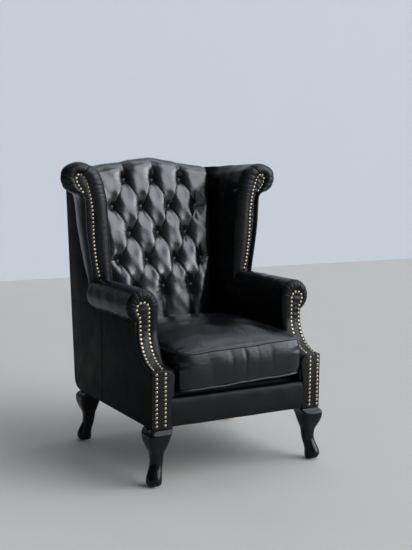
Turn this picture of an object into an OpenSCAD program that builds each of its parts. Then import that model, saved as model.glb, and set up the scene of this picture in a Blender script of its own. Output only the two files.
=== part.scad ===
// Wing armchair with a button-tufted back, scrolled arms and a loose seat cushion.
// Millimetres. X runs across the chair, Y from front to back, Z up from the floor.
// Left and right are the sitter's own: the left arm lies at positive X.

/* [Body] */
// Width over the outside arm panels
body_w = 666; // [640:1:700]
// Height of the body's bottom edge over the floor
leg_h = 194; // [170:1:215]
// Depth of the body's bottom from the front face to the heel of the back
body_d = 677; // [650:1:700]
// Radius of the lower rear corner of the body
heel_r = 45; // [30:1:60]
// Lean of the outside back, in degrees
outer_lean = 6; // [5:0.1:7]
// Thickness of the leather covered outer panels
skin_t = 6; // [5:0.1:7]
// Thickness of the frame's boards at the sides
side_board_t = 27; // [24:0.5:30]
// Height of the seat rails
rail_h = 89; // [80:1:91]
// Thickness of the front and back seat rails
rail_t = 27; // [20:1:30]
// Thickness of the side seat rails
side_rail_t = 40; // [34:1:45]

/* [Back] */
// Height of the peak of the arched back
back_h = 1081; // [1065:1:1100]
// Drop of the arched top for each millimetre from the middle
arch_share = 0.15; // [0.1:0.01:0.2]
// Lean of the tufted face, in degrees
tuft_lean = 14.7; // [14:0.1:15.4]
// How far the middle button lies before the outer face of the back's heel
button_setback = 43; // [37:1:51]
// Depth of the middle button under the back's peak
button_drop = 297; // [286:1:306]
// Distance from the outermost buttons to the side of the tufted back
button_margin = 67; // [64:1:76]
// Distance between rows of buttons
button_pitch_z = 102.5; // [98:0.5:106]
// Radius of a covered button
button_r = 8; // [6:0.5:10]
// Height of the puffs over the buttons
puff_h = 28; // [20:1:32]
// Depth of the back posts
post_d = 35; // [30:1:38]
// Depth of the back posts' top under the back's peak
post_drop = 111; // [106:1:131]
// Width of the back posts
post_w = 35; // [30:1:40]

/* [Arms] */
// Height of the column under the arm's front
column_h = 195; // [180:1:205]
// Radius of the arm roll
arm_roll_r = 58; // [52:0.5:62]
// Inset of the arm roll's centre from the outside panel
arm_roll_inset = 25; // [21:1:29]
// Height of the arm roll's centre
arm_roll_z = 582; // [576:1:592]
// Inset of the middle between the arm's nail lines from the outside panel
line_inset = 28; // [26:0.5:31]
// Radius of the sweep in the arm's front
sweep_r = 121; // [112:1:130]
// Thickness of the padded front of the arm
band_t = 14; // [10:1:18]
// How far the arm roll reaches in under the wing
roll_tuck = 20; // [12:1:34]
// Width of the column under the arm's front
column_w = 71; // [66:1:74]
// Depth of the column's inner block
column_d = 50; // [44:1:60]
// Thickness of the leather strip between the nail lines
strip_t = 5; // [4:0.5:7]
// Depth of the strip under the padding beside it
strip_recess = 2; // [1:0.5:3]
// Half the distance between the two nail lines
line_half_w = 16; // [14:0.5:18]
// Radius of the nail line round the arm's scroll
scroll_r = 22.5; // [20:0.5:26]

/* [Wings] */
// How far the wing scroll stands out over the outside panel
wing_flare = 119; // [112:1:127]
// Depth of the wing scroll's top under the back's peak
wing_drop = 23; // [11:1:36]
// Depth of the wing from its nailed front to the back's heel
wing_d = 192; // [185:1:199]
// Depth of the outside panel behind the wing's padded edge, to the back's heel
wing_panel_d = 37; // [27:1:47]
// How far the padded inner edge stands before the nailed front
wing_bulge = 9; // [6:0.5:12]
// Radius of the wing roll where it meets the back
wing_tail_r = 30; // [26:1:32]
// Thickness of the wing's board
wing_board_t = 18; // [12:1:20]

/* [Seat cushion] */
// Overhang of the cushion before the body's front face
cushion_overhang = 15; // [8:1:20]
// How far the cushion stops before the plane of the buttons, at its upper piping
cushion_back_gap = 44.5; // [42:0.5:60]
// Clearance between the cushion and each arm
cushion_side_gap = 3; // [1:0.5:6]
// Thickness of the seat deck over the rails
deck_t = 15; // [10:1:20]
// Height of the lower piping over the deck
low_piping_h = 22; // [18:1:28]
// Height of the upper piping over the deck
high_piping_h = 143; // [130:1:150]
// Height of the crown over the deck
crown_h = 208; // [190:1:215]
// Radius of the piping
piping_r = 4; // [3:0.5:5]

/* [Legs] */
// Width of the square leg top
leg_top_w = 72; // [66:1:76]
// Outward shift of the foot across the chair
foot_shift_x = 22; // [16:1:26]
// Outward shift of the foot along the chair
foot_shift_y = 17; // [10:1:22]
// Width of the ankle
ankle_w = 43; // [38:1:48]
// Width of the foot
foot_w = 54; // [48:1:60]
// Radius of the glide under the foot
glide_r = 14; // [10:1:16]
// Thickness of the glide
glide_t = 3; // [2:0.5:5]
// Radius of the hanger bolt
bolt_r = 5; // [4:0.5:6]

/* [Nails] */
// Radius of a nail's dome
nail_r = 5.4; // [4.5:0.1:6]
// Height of a nail's dome
nail_h = 3.2; // [2.4:0.1:4]
// Distance between nails
nail_pitch = 14.3; // [12.5:0.1:16]

/* [Hidden] */
$fn = 64;

// Overrun of every cut
eps = 1;
// Radial clearance of the bolts and screws
bolt_gap = 0.1;
// Gap round a cushion or button in its seat
seat_gap = 0.3;
body_half_w = body_w / 2;
arm_roll_x = body_half_w - arm_roll_inset;
back_half_w = arm_roll_x - arm_roll_r;
line_x = body_half_w - line_inset;
wing_reach = body_half_w + wing_flare;
wing_top_z = back_h - wing_drop;
wing_front_y = body_d - wing_d;
wing_crease_y = body_d - wing_panel_d;
arm_roll_end_y = wing_front_y + roll_tuck;
button_y = body_d - button_setback;
button_z = back_h - button_drop;
post_top_z = back_h - post_drop;
board_x1 = body_half_w - skin_t;
board_x0 = board_x1 - side_board_t;
side_rail_x0 = board_x1 - side_rail_t;
// Thickness of the leg plates and of the dust cover
plate_t = 2;
dust_t = 1.5;
frame_z0 = leg_h + plate_t;
rail_top_z = frame_z0 + rail_h;
deck_z = rail_top_z + deck_t;
// Height of the straight part of the heel
heel_z = leg_h + heel_r + plate_t;
rim_drop = 8;
web_t = 1.5;

// Outer face of the back at height z
function back_y(z) = body_d + (z - heel_z) * tan(outer_lean);
// Inner face of the outside back
function back_in_y(z) = back_y(z) - skin_t;
// Front face of the back posts
function post_y(z) = back_in_y(z) - post_d;
// Plane against which the back's and wings' padding ends
function stuff_y(z) = post_y(z) - web_t;
// Plane through the buttons
function tuft_y(z) = button_y + (z - button_z) * tan(tuft_lean);
cushion_rear_y = tuft_y(deck_z + high_piping_h) - cushion_back_gap;
// Height of the arched top at a distance x from the middle
function arch_z(x) = back_h - arch_share * abs(x);

// Rear end of the flat bottom, where the heel's curve starts
heel_y = body_d - heel_r;

rear_y = back_y(back_h - rim_drop);
front_y = -cushion_overhang;
mid_y = (rear_y + front_y) / 2;

// Stands the chair centred over the origin
module place() translate([0, -mid_y, 0]) children();

// Draws a left piece, or its mirror image for the right side
module hand(side) {
    place()
        if (side > 0) children();
        else mirror([1, 0, 0]) children();
}

// Extrudes a side view outline, in Y and Z, from x0 to x1
module across(x0, x1) translate([x0, 0, 0]) rotate([90, 0, 90]) linear_extrude(x1 - x0) children();

// Extrudes a front view outline, in X and Z, from y0 to y1
module along_y(y0, y1) translate([0, y1, 0]) rotate([90, 0, 0]) linear_extrude(y1 - y0) children();

// Box between two corners
module block(low, high) translate(low) cube(high - low);

// Solid through a stack of rings with equally many points, each convex
module ring_solid(rings) {
    n = len(rings[0]);
    m = len(rings);
    points = [for (ring = rings, point = ring) point];
    sides = [for (i = [0:m - 2], j = [0:n - 1]) let (k = (j + 1) % n) each [
        [i * n + j, (i + 1) * n + j, (i + 1) * n + k],
        [i * n + j, (i + 1) * n + k, i * n + k]
    ]];
    first_cap = [for (j = [1:n - 2]) [0, j, j + 1]];
    last_cap = [for (j = [1:n - 2]) [(m - 1) * n, (m - 1) * n + j + 1, (m - 1) * n + j]];
    polyhedron(points, concat(sides, first_cap, last_cap), convexity = 10);
}

// Power of a number that keeps its sign
function signed_pow(v, e) = sign(v) * pow(abs(v), e);
// Length of a path up to its point i
function path_len(path, i) = i == 0 ? 0 : path_len(path, i - 1) + norm(path[i] - path[i - 1]);
// Point of a path at a distance s along it
function path_at(path, s, i = 1) =
    let (d = norm(path[i] - path[i - 1]))
    s <= d || i == len(path) - 1
        ? path[i - 1] + (path[i] - path[i - 1]) * min(1, s / d)
        : path_at(path, s - d, i + 1);

// Dome nail whose underside is centred on the origin, its head towards -Y
module nail() {
    crown_share = 0.55;
    shoulder_share = 0.8;
    rotate([90, 0, 0]) rotate_extrude($fn = 24) polygon([
        [0, 0], [nail_r, 0], [nail_r, nail_h * (1 - shoulder_share)],
        [nail_r * shoulder_share, nail_h * shoulder_share], [nail_r * (1 - crown_share), nail_h],
        [0, nail_h]
    ]);
}

// Outside back

// Side view of the outer skin of the back, from heel to peak
module back_skin_outline() {
    heel_steps = 6;
    heel_c = [heel_y, heel_z];
    inner_r = heel_r - skin_t;
    arc = [for (i = [0:heel_steps]) -90 + i * 90 / heel_steps];
    polygon(concat(
        [for (a = arc) heel_c + heel_r * [cos(a), sin(a)]],
        [[back_y(back_h), back_h], [back_in_y(back_h), back_h]],
        [for (i = [heel_steps:-1:0]) heel_c + inner_r * [cos(arc[i]), sin(arc[i])]]
    ));
}

// Front view of the outside back
module back_panel_outline() {
    rim_z = tail_z - rim_drop;
    turn = [for (a = [0:30:90]) [tail_x + wing_tail_r * cos(a), rim_z + wing_tail_r * sin(a)]];
    polygon(concat(
        [[-body_half_w, 0], [body_half_w, 0]], turn, [[0, back_h - rim_drop]],
        [for (i = [len(turn) - 1:-1:0]) [-turn[i][0], turn[i][1]]]
    ));
}

module outside_back() {
    color("#17181a") place() intersection() {
        across(-body_half_w, body_half_w) back_skin_outline();
        along_y(0, rear_y + eps) back_panel_outline();
    }
}

// Tufted back

// Row number, counted in rows below the top row, held inside the buttoned field
rows = 5;
button_pitch_x = (back_half_w - button_margin) * 2 / 3;
top_row_z = button_z + (rows - 1) / 2 * button_pitch_z;
function row_at(z) = (top_row_z - z) / button_pitch_z;
function held(v, low, high) = min(max(v, low), high);
function turns(v) = sin(180 * v);
function swings(v) = cos(180 * v);

// How full the padding stands at a place on the back, from 0 at a button to 1
function puff_share(x, z) =
    let (row = held(row_at(z), 0, rows - 1),
         beyond = abs(row_at(z) - row),
         p = x / button_pitch_x + row / 2,
         q = x / button_pitch_x - row / 2,
         fold = sqrt(abs(turns(p) * turns(q))),
         bowl = 1 - pow(swings(p) * swings(q), 2) * exp(-2 * beyond))
    0.4 * fold + 0.6 * bowl;

// The padding thins towards the seat and rounds off at the sides
seat_puff_share = 0.3;
function puff_at(z) = puff_h * (seat_puff_share
    + (1 - seat_puff_share) * held((z - deck_z) / (top_row_z - deck_z) * 2, 0, 1));
side_drop = 24;
function side_share(x) = sqrt(1 - pow(min(1, abs(x) / back_half_w), 8));
function face_y(x, z) = tuft_y(z) + side_drop * (1 - side_share(x))
    - puff_at(z) * side_share(x) * puff_share(x, z);

// Side view ring of the padding at a distance x from the middle, from its rear foot round to its front foot
row_step = button_pitch_z / 4;
face_rows = floor((top_row_z + row_step - deck_z) / row_step);
head_z = top_row_z + row_step;
function back_ring(x) =
    let (top = arch_z(x), front = face_y(x, head_z), rear = back_in_y(top - rim_drop * 1.5),
         ridge = rear - (rear - front) * 0.35)
    concat(
        [[x, back_in_y(deck_z), deck_z], [x, rear, top - rim_drop * 1.5],
         [x, rear - skin_t, top - rim_drop / 3], [x, ridge, top]],
        [for (a = [30, 60]) [x, ridge - (ridge - front) * sin(a), head_z + (top - head_z) * cos(a)]],
        [for (i = [0:face_rows - 1]) let (z = head_z - i * row_step) [x, face_y(x, z), z]],
        [[x, face_y(x, deck_z), deck_z]]
    );

column_step = button_pitch_x / 6;
inner_columns = ceil(back_half_w / column_step) - 1;
module back_pad() {
    xs = concat([-back_half_w], [for (i = [-inner_columns:inner_columns]) i * column_step], [back_half_w]);
    color("#101114") place() difference() {
        ring_solid([for (x = xs) back_ring(x)]);
        across(-body_half_w, body_half_w) polygon([
            [stuff_y(0), 0], [back_y(0) + body_d, 0], [back_y(0) + body_d, post_top_z],
            [stuff_y(post_top_z), post_top_z]
        ]);
        // Seats for the buttons
        for (spot = button_spots()) translate(spot) rotate([90 + tuft_lean, 0, 0])
            translate([0, 0, -seat_gap]) cylinder(h = puff_h * 2, r = button_r + seat_gap, $fn = 24);
    }
}

// Button places, three and four to a row by turns
function button_spots() = [
    for (row = [0:rows - 1])
        let (z = top_row_z - row * button_pitch_z, odd = row % 2, n = 3 + odd)
        for (i = [0:n - 1]) [(i - (n - 1) / 2) * button_pitch_x, tuft_y(z), z]
];

module back_buttons() {
    button_h = button_r * 0.7;
    rim_share = 0.45;
    color("#1b1c20") place() for (spot = button_spots()) translate(spot)
        rotate([90 + tuft_lean, 0, 0]) rotate_extrude($fn = 32) polygon([
            [0, 0], [button_r, 0], [button_r, button_h * rim_share],
            [button_r * 0.8, button_h * 0.8], [button_r * 0.45, button_h], [0, button_h]
        ]);
}

// Arms

// Front view of the arm's roll alone, widened by a gap
module roll_outline(gap = 0) translate([arm_roll_x, arm_roll_z]) circle(arm_roll_r + gap);

// Front view of the whole arm above the column
module arm_outline() {
    roll_outline();
    polygon([
        [back_half_w, deck_z], [body_half_w, deck_z], [body_half_w, arm_roll_z - arm_roll_r],
        [arm_roll_x, arm_roll_z], [back_half_w, arm_roll_z]
    ]);
}

// Side view of the sweep, offset backwards by t, closed behind at the given depth
sweep_z = leg_h + column_h + sweep_r;
module sweep_outline(t, rear, top) {
    r = sweep_r + t;
    difference() {
        square([rear, top]);
        translate([0, sweep_z]) circle(r);
        translate([-eps, sweep_z]) square([r + eps, top]);
    }
}

// Front of the arm as a layer between two depths behind the sweep
roll_top_z = arm_roll_z + arm_roll_r;
module sweep_layer(t0, t1, x0, x1) {
    difference() {
        across(x0, x1) sweep_outline(t0, sweep_r + t1, roll_top_z + eps);
        across(x0 - eps, x1 + eps) sweep_outline(t1, body_d, roll_top_z + eps * 2);
    }
}

// Nail line round the arm's scroll, in X and Z, from the sweep's end on the outside to the inside
line_x0 = line_x - line_half_w;
line_x1 = line_x + line_half_w;
scroll_c = [line_x0 + scroll_r, arm_roll_z - scroll_r * 0.35];
function arm_line() = concat(
    [[line_x1, sweep_z], [line_x1, scroll_c[1] - scroll_r * 1.4],
     [line_x1 + scroll_r * 0.35, scroll_c[1] - scroll_r * 0.85]],
    [for (a = [-15:15:180]) scroll_c + scroll_r * [cos(a), sin(a)]],
    [[line_x0, sweep_z]]
);

// Path moved sideways to its left by d
function beside(path, d) = [for (i = [0:len(path) - 1])
    let (from = path[max(0, i - 1)], to = path[min(len(path) - 1, i + 1)],
         dir = (to - from) / norm(to - from))
    path[i] + d * [-dir[1], dir[0]]];

// Front view of the leather strip between the nail lines, a little wider than them
strip_edge = nail_r * 1.2;
module strip_outline() polygon(concat(
    [[line_x0 - strip_edge, 0], [line_x1 + strip_edge, 0]], beside(arm_line(), -strip_edge)
));

module arm_pad(side) {
    color("#0f1012") hand(side) difference() {
        union() {
            // Roll and inner side
            intersection() {
                along_y(0, arm_roll_end_y) union() {
                    roll_outline();
                    translate([back_half_w, deck_z]) square([board_x0 - back_half_w, arm_roll_z - deck_z]);
                }
                across(0, body_w) sweep_outline(0, body_d, roll_top_z + eps);
            }
            // Padded front, as wide as the arm
            intersection() {
                along_y(0, body_d) arm_outline();
                sweep_layer(0, band_t, 0, body_w);
            }
            // Inner side behind the roll, up to the back's stuffing
            across(back_half_w, board_x0) polygon([
                [arm_roll_end_y - eps, deck_z], [stuff_y(deck_z), deck_z],
                [stuff_y(arm_roll_z), arm_roll_z], [arm_roll_end_y - eps, arm_roll_z]
            ]);
        }
        // Room for the column
        block([0, -eps, 0], [body_w, skin_t, arm_roll_z]);
        intersection() {
            block([0, -eps, 0], [body_w, column_d, sweep_z]);
            across(0, body_w) sweep_outline(band_t, body_d, sweep_z);
        }
        // Room for the arm's frame
        across(board_x0, board_x1) sweep_outline(band_t, arm_roll_end_y + eps, arm_frame_top);
        // Pocket of the nailed strip
        intersection() {
            along_y(0, body_d) strip_outline();
            sweep_layer(-eps, strip_recess + strip_t, 0, body_w);
        }
    }
}

module arm_facing(side) {
    color("#191a1d") hand(side) intersection() {
        along_y(skin_t, body_d) strip_outline();
        sweep_layer(strip_recess, strip_recess + strip_t, 0, body_w);
    }
}

// Column under the arm's front: a front board and the padded block behind it
module arm_column(side) {
    color("#141518") hand(side) {
        block([body_half_w - column_w, 0, leg_h], [body_half_w, skin_t, sweep_z - sweep_r]);
        intersection() {
            block([body_half_w - column_w, skin_t, rail_top_z], [board_x0, column_d, sweep_z]);
            across(0, body_w) sweep_outline(band_t, body_d, sweep_z);
        }
    }
}

// Outside arm panel: reaches under the roll and, behind it, up to the wing's seam
seam_z = arm_roll_z - arm_roll_r * 0.72;
roll_seat_z = arm_roll_z - sqrt(arm_roll_r * arm_roll_r - (board_x1 - arm_roll_x) * (board_x1 - arm_roll_x));
module heel_room() {
    heel_steps = 6;
    inner_r = heel_r - skin_t;
    polygon(concat(
        [[skin_t, leg_h], [heel_y, leg_h]],
        [for (i = [0:heel_steps]) let (a = -90 + i * 90 / heel_steps)
            [heel_y + inner_r * cos(a), heel_z + inner_r * sin(a)]],
        [[back_in_y(back_h), back_h], [skin_t, back_h]]
    ));
}

module arm_outside(side) {
    color("#1a1b1c") hand(side) across(board_x1, body_half_w) intersection() {
        heel_room();
        union() {
            sweep_outline(band_t, rear_y, roll_seat_z);
            translate([arm_roll_end_y, roll_seat_z - eps]) square([body_d, seam_z - roll_seat_z + eps]);
        }
    }
}

// Front post of the arm, behind its padded front
arm_post_d = 36;
// Depth of the frame's top under the roll's centre
arm_frame_drop = 10;
arm_frame_top = arm_roll_z - arm_frame_drop;
module arm_post(side) {
    rear = sweep_r + band_t + arm_post_d;
    color("#b08d57") hand(side) across(board_x0, board_x1) intersection() {
        translate([skin_t, frame_z0]) square([body_d, arm_frame_top - frame_z0]);
        union() {
            difference() {
                sweep_outline(band_t, rear, arm_frame_top);
                sweep_outline(band_t + arm_post_d, body_d, arm_frame_top + eps);
            }
            intersection() {
                square([column_d, sweep_z]);
                sweep_outline(band_t, body_d, sweep_z);
            }
        }
    }
}

// Rail under the arm's roll, from the arm post to the back post
arm_rail_h = 40;
module arm_rail(side) {
    y0 = sweep_r + band_t + arm_post_d;
    z0 = arm_frame_top - arm_rail_h;
    color("#b08d57") hand(side) across(board_x0, board_x1) polygon([
        [y0, z0], [post_y(z0), z0], [post_y(arm_frame_top), arm_frame_top], [y0, arm_frame_top]
    ]);
}

// Nails on the left arm: two lines up the column and the sweep, joined round the scroll
module arm_nail_lines() {
    first_z = leg_h + nail_pitch * 0.85;
    column_nails = floor((sweep_z - sweep_r - nail_r - first_z) / nail_pitch);
    strip_r = sweep_r + strip_recess;
    // A flat nail clears the hollow of the sweep at its two edges
    r = sqrt(strip_r * strip_r - nail_r * nail_r);
    arc_len = r * PI / 2;
    arc_nails = floor(arc_len / nail_pitch) - 1;
    for (x = [line_x0, line_x1]) {
        for (i = [0:column_nails]) translate([x, 0, first_z + i * nail_pitch]) nail();
        for (i = [0:arc_nails - 1]) {
            a = -((i + 0.5) * nail_pitch) / arc_len * 90;
            translate([x, r * cos(a), sweep_z + r * sin(a)]) rotate([a, 0, 0]) nail();
        }
    }
    path = arm_line();
    whole = path_len(path, len(path) - 1);
    n = round(whole / nail_pitch);
    for (i = [0:n - 1]) {
        spot = path_at(path, (i + 0.5) * whole / n);
        translate([spot[0], strip_r, spot[1]]) nail();
    }
}

module arm_nails(side) color("#b5904a") hand(side) arm_nail_lines();

// Wings

// Clearance of the lowest wing nail over the arm roll
nail_clear = 2;
wing_foot_z = roll_top_z + nail_r + nail_clear;
wing_rise = wing_top_z - wing_foot_z;
tail_x = body_half_w - wing_tail_r;
tail_z = arch_z(tail_x) - wing_tail_r;

// Places on the wing's front view: shares of the way from the tufted back's side to the reach, and of
// the wing's rise over its lowest nail
function wing_across(share) = back_half_w + share * (wing_reach - back_half_w);
function wing_spots(shares) = [for (s = shares) [wing_across(s[0]), wing_foot_z + s[1] * wing_rise]];

// Outline of the scroll at the wing's front
scroll_shares = [
    [0.203, 0.759], [0.232, 0.82], [0.282, 0.881], [0.344, 0.932], [0.45, 0.969], [0.564, 0.992],
    [0.678, 1], [0.792, 0.992], [0.902, 0.964], [0.975, 0.921], [1, 0.871], [0.991, 0.83],
    [0.94, 0.779], [0.841, 0.742], [0.698, 0.728]
];
// Nail line: up the wing, round the scroll and down its tail. The first place is the strip's own foot
wing_line_shares = [
    [0.282, -0.034], [0.302, -0.001], [0.347, 0.075], [0.378, 0.177], [0.403, 0.281],
    [0.416, 0.391], [0.418, 0.49], [0.429, 0.571], [0.454, 0.664], [0.485, 0.739], [0.521, 0.809],
    [0.559, 0.859], [0.604, 0.889], [0.655, 0.899], [0.705, 0.89], [0.734, 0.863], [0.729, 0.832],
    [0.7, 0.801], [0.655, 0.767], [0.615, 0.74]
];
// Outer edge of the wing's front under the scroll, from the scroll down
wing_edge_shares = [
    [0.64, 0.71], [0.63, 0.629], [0.615, 0.536], [0.59, 0.323], [0.545, 0.111], [0.495, -0.006],
    [0.47, -0.055]
];
// Inner and outer edge of the wing's front at its foot, then at its middle, under the scroll and inside it
wing_foot_shares = [0.049, 0.46];
wing_width_shares = [[0.123, 0.585, 0.328], [0.19, 0.635, 0.733], [0.295, 0.635, 0.872]];

// Level section of the wing at height z between its inner edge xi and its outer edge xo
module wing_section(z, xi, xo) {
    pad_w = xo - xi;
    translate([0, 0, z]) linear_extrude(wing_bulge * 0.2) polygon([
        [back_half_w, stuff_y(z)],
        [back_half_w, wing_crease_y],
        [xi - (xi - back_half_w) * 0.4, (wing_front_y + wing_crease_y) / 2],
        [xi, wing_front_y + wing_bulge * 1.6],
        [xi + pad_w * 0.07, wing_front_y - wing_bulge * 0.5],
        [xi + pad_w * 0.22, wing_front_y - wing_bulge],
        [xi + pad_w * 0.42, wing_front_y - wing_bulge * 0.7],
        [xo - pad_w * 0.1, wing_front_y],
        [xo, wing_front_y + wing_bulge],
        [xo - pad_w * 0.05, wing_front_y + wing_bulge * 5],
        [xo - pad_w * 0.2, wing_front_y + wing_bulge * 11],
        [body_half_w, wing_crease_y],
        [board_x1, stuff_y(z)]
    ]);
}

// Front view of the leather strip between the wing's nail line and its outer edge
module wing_strip_outline() polygon(concat(
    beside(wing_spots(wing_line_shares), strip_edge), wing_spots(wing_edge_shares)
));

module wing_pad(side) {
    color("#0e0f11") hand(side) difference() {
        union() {
            // Upright padding of the wing
            hull() {
                wing_section(arm_roll_z, wing_across(wing_foot_shares[0]), wing_across(wing_foot_shares[1]));
                for (w = wing_width_shares)
                    wing_section(wing_foot_z + w[2] * wing_rise, wing_across(w[0]), wing_across(w[1]));
            }
            // Roll along the wing's top, thinning towards the back
            hull() {
                along_y(wing_front_y, wing_front_y + wing_bulge * 2) polygon(wing_spots(scroll_shares));
                translate([0, -wing_bulge, 0]) along_y(wing_front_y, wing_front_y + eps)
                    polygon(beside(wing_spots(scroll_shares), -wing_bulge));
                along_y(rear_y - eps, rear_y) translate([tail_x, tail_z]) circle(wing_tail_r, $fn = 24);
                along_y(stuff_y(post_top_z) + skin_t, rear_y) polygon([
                    [back_half_w, tail_z - wing_tail_r * 2], [tail_x, tail_z - wing_tail_r * 0.98],
                    [tail_x, tail_z + wing_tail_r * 0.98], [back_half_w, arch_z(back_half_w)]
                ]);
            }
        }
        // Stuffing ends at the webbing and, over the posts, at the outside back
        across(0, body_w) polygon([
            [stuff_y(0), 0], [rear_y + skin_t, 0], [rear_y + skin_t, post_top_z],
            [stuff_y(post_top_z), post_top_z]
        ]);
        across(0, body_w) polygon([
            [back_in_y(0), 0], [rear_y + body_d, 0], [rear_y + body_d, back_h + eps],
            [back_in_y(back_h + eps), back_h + eps]
        ]);
        block([0, 0, 0], [back_half_w, rear_y, back_h]);
        // Seat of the arm roll under the wing
        along_y(0, arm_roll_end_y) roll_outline(seat_gap);
        // Outside panel, and the crease along its front edge
        across(board_x1, body_w) wing_panel_outline();
        block([body_half_w, wing_crease_y, 0], [body_w, rear_y, wing_panel_top_z]);
        // Wing board inside
        across(board_x1 - wing_board_t, board_x1) wing_board_outline();
        // Pocket of the nailed strip
        along_y(0, wing_front_y + strip_t) wing_strip_outline();
    }
}

module wing_facing(side) {
    color("#17181a") hand(side) difference() {
        along_y(wing_front_y, wing_front_y + strip_t) wing_strip_outline();
        along_y(0, body_d) roll_outline();
    }
}

// Side view of the outside wing panel, over the seam behind the arm
wing_panel_top_z = wing_foot_z + wing_rise * 0.757;
module wing_panel_outline() {
    top_rear_z = tail_z - rim_drop;
    polygon([
        [arm_roll_end_y, seam_z], [back_in_y(seam_z), seam_z], [back_in_y(top_rear_z), top_rear_z],
        [wing_crease_y, wing_panel_top_z], [wing_crease_y, arm_roll_z + arm_roll_r * 2],
        [(arm_roll_end_y + wing_crease_y) / 2, roll_top_z], [arm_roll_end_y, arm_roll_z + arm_roll_r * 0.3]
    ]);
}

module wing_outside(side) color("#1d1e20") hand(side) across(board_x1, body_half_w) wing_panel_outline();

// Side view of the board inside the wing, standing on the arm rail
module wing_board_outline() {
    front = wing_front_y + strip_t + side_board_t;
    top = post_top_z - skin_t * 4;
    polygon([
        [arm_roll_end_y, arm_frame_top], [post_y(arm_frame_top), arm_frame_top], [post_y(top), top],
        [front + side_board_t * 3, top], [front, top - skin_t * 4],
        [front, roll_top_z + skin_t], [arm_roll_end_y, roll_top_z + skin_t]
    ]);
}

module wing_board(side)
    color("#b08d57") hand(side) across(board_x1 - wing_board_t, board_x1) wing_board_outline();

module wing_nails(side) {
    path = wing_spots(wing_line_shares);
    foot = path_len(path, 1);
    whole = path_len(path, len(path) - 1) - foot;
    n = round(whole / nail_pitch);
    color("#b5904a") hand(side) for (i = [0:n]) {
        spot = path_at(path, foot + i * whole / n);
        translate([spot[0], wing_front_y, spot[1]]) nail();
    }
}

// Seat front, cushion and deck

border_x = body_half_w - column_w;
border_y = skin_t / 3;
border_top_z = rail_top_z + rim_drop;
module front_border() {
    r = rim_drop;
    color("#1c1d1f") place() across(-border_x, border_x) polygon(concat(
        [[border_y, leg_h], [skin_t, leg_h], [skin_t, rail_top_z], [column_d - skin_t, rail_top_z],
         [column_d - skin_t, border_top_z]],
        [for (a = [90:15:180]) [border_y + r + r * cos(a), border_top_z - r + r * sin(a)]]
    ));
}

module seat_deck() {
    color("#26272a") place() {
        block([-border_x, column_d - skin_t, rail_top_z], [border_x, column_d, deck_z]);
        block([-board_x0, column_d, rail_top_z], [board_x0, heel_y, deck_z]);
    }
}

// Rings of the cushion: inset from its widest outline, height over the deck, squareness of the corners
cushion_half_w = back_half_w - cushion_side_gap;
cushion_half_d = (cushion_rear_y + cushion_overhang) / 2;
function piping_ring(h) = [
    [piping_r * 1.5, h - piping_r, 7], [piping_r * 0.5, h - piping_r * 0.5, 7],
    [piping_r * 0.5, h + piping_r * 0.5, 7], [piping_r * 1.5, h + piping_r, 7]
];
function cushion_rings() = concat(
    [[cushion_half_d * 0.55, seat_gap, 4], [cushion_half_d * 0.2, seat_gap, 6],
     [low_piping_h * 0.7, low_piping_h * 0.35, 7]],
    piping_ring(low_piping_h),
    [[piping_r * 0.2, low_piping_h + (high_piping_h - low_piping_h) * 0.3, 7],
     [0, low_piping_h + (high_piping_h - low_piping_h) * 0.6, 7]],
    piping_ring(high_piping_h),
    [for (s = [[0.12, 0.30, 6], [0.28, 0.58, 4.4], [0.5, 0.82, 3.2], [0.75, 0.95, 2.4], [0.93, 1, 2]])
        [cushion_half_d * s[0], high_piping_h + (crown_h - high_piping_h) * s[1], s[2]]]
);

// Cushion with its boxing drawn in between two rows of piping, and a crowned top
module seat_cushion() {
    n = 48;
    mid = [0, (cushion_rear_y - cushion_overhang) / 2];
    rings = [for (ring = cushion_rings())
        let (hx = cushion_half_w * (1 - ring[0] / cushion_half_d), hy = cushion_half_d - ring[0])
        [for (i = [0:n - 1]) let (a = i * 360 / n) [
            mid[0] + hx * signed_pow(cos(a), 2 / ring[2]),
            mid[1] + hy * signed_pow(sin(a), 2 / ring[2]),
            deck_z + ring[1]
        ]]];
    color("#0f1012") place() ring_solid(rings);
}

// Legs

// Rings up a leg: height share, outward share, shares of the top, ankle and foot width, and squareness
leg_shares = [
    [0, 0.92, 0, 0, 0.66, 2], [0.015, 0.95, 0, 0, 0.84, 2], [0.055, 1.02, 0, 0, 0.97, 2],
    [0.11, 1.04, 0, 0, 1, 2.1], [0.17, 0.98, 0, 0, 0.95, 2.1], [0.24, 0.82, 0, 0.5, 0.48, 2.2],
    [0.31, 0.62, 0, 1, 0.03, 2.3], [0.39, 0.46, 0, 1, 0, 2.4],
    [0.47, 0.4, 0.1, 0.86, 0, 2.6], [0.56, 0.4, 0.36, 0.5, 0, 3],
    [0.66, 0.46, 0.68, 0.3, 0, 3.5], [0.75, 0.5, 0.98, 0.06, 0, 4.2], [0.82, 0.5, 1.09, 0, 0, 5],
    [0.88, 0.42, 1.13, 0, 0, 6], [0.93, 0.25, 1.14, 0, 0, 8], [0.97, 0, 1.1, 0, 0, 10],
    [1, -0.2, 1.02, 0, 0, 12]
];
leg_x = body_half_w - leg_top_w / 2;
front_leg_y = leg_top_w / 2;
back_leg_y = heel_y - leg_top_w / 2;
leg_n = 24;
bolt_shift = leg_top_w * 0.28;
bolt_len = leg_h * 0.4;
bolt_z0 = leg_h - bolt_len / 2;

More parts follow.
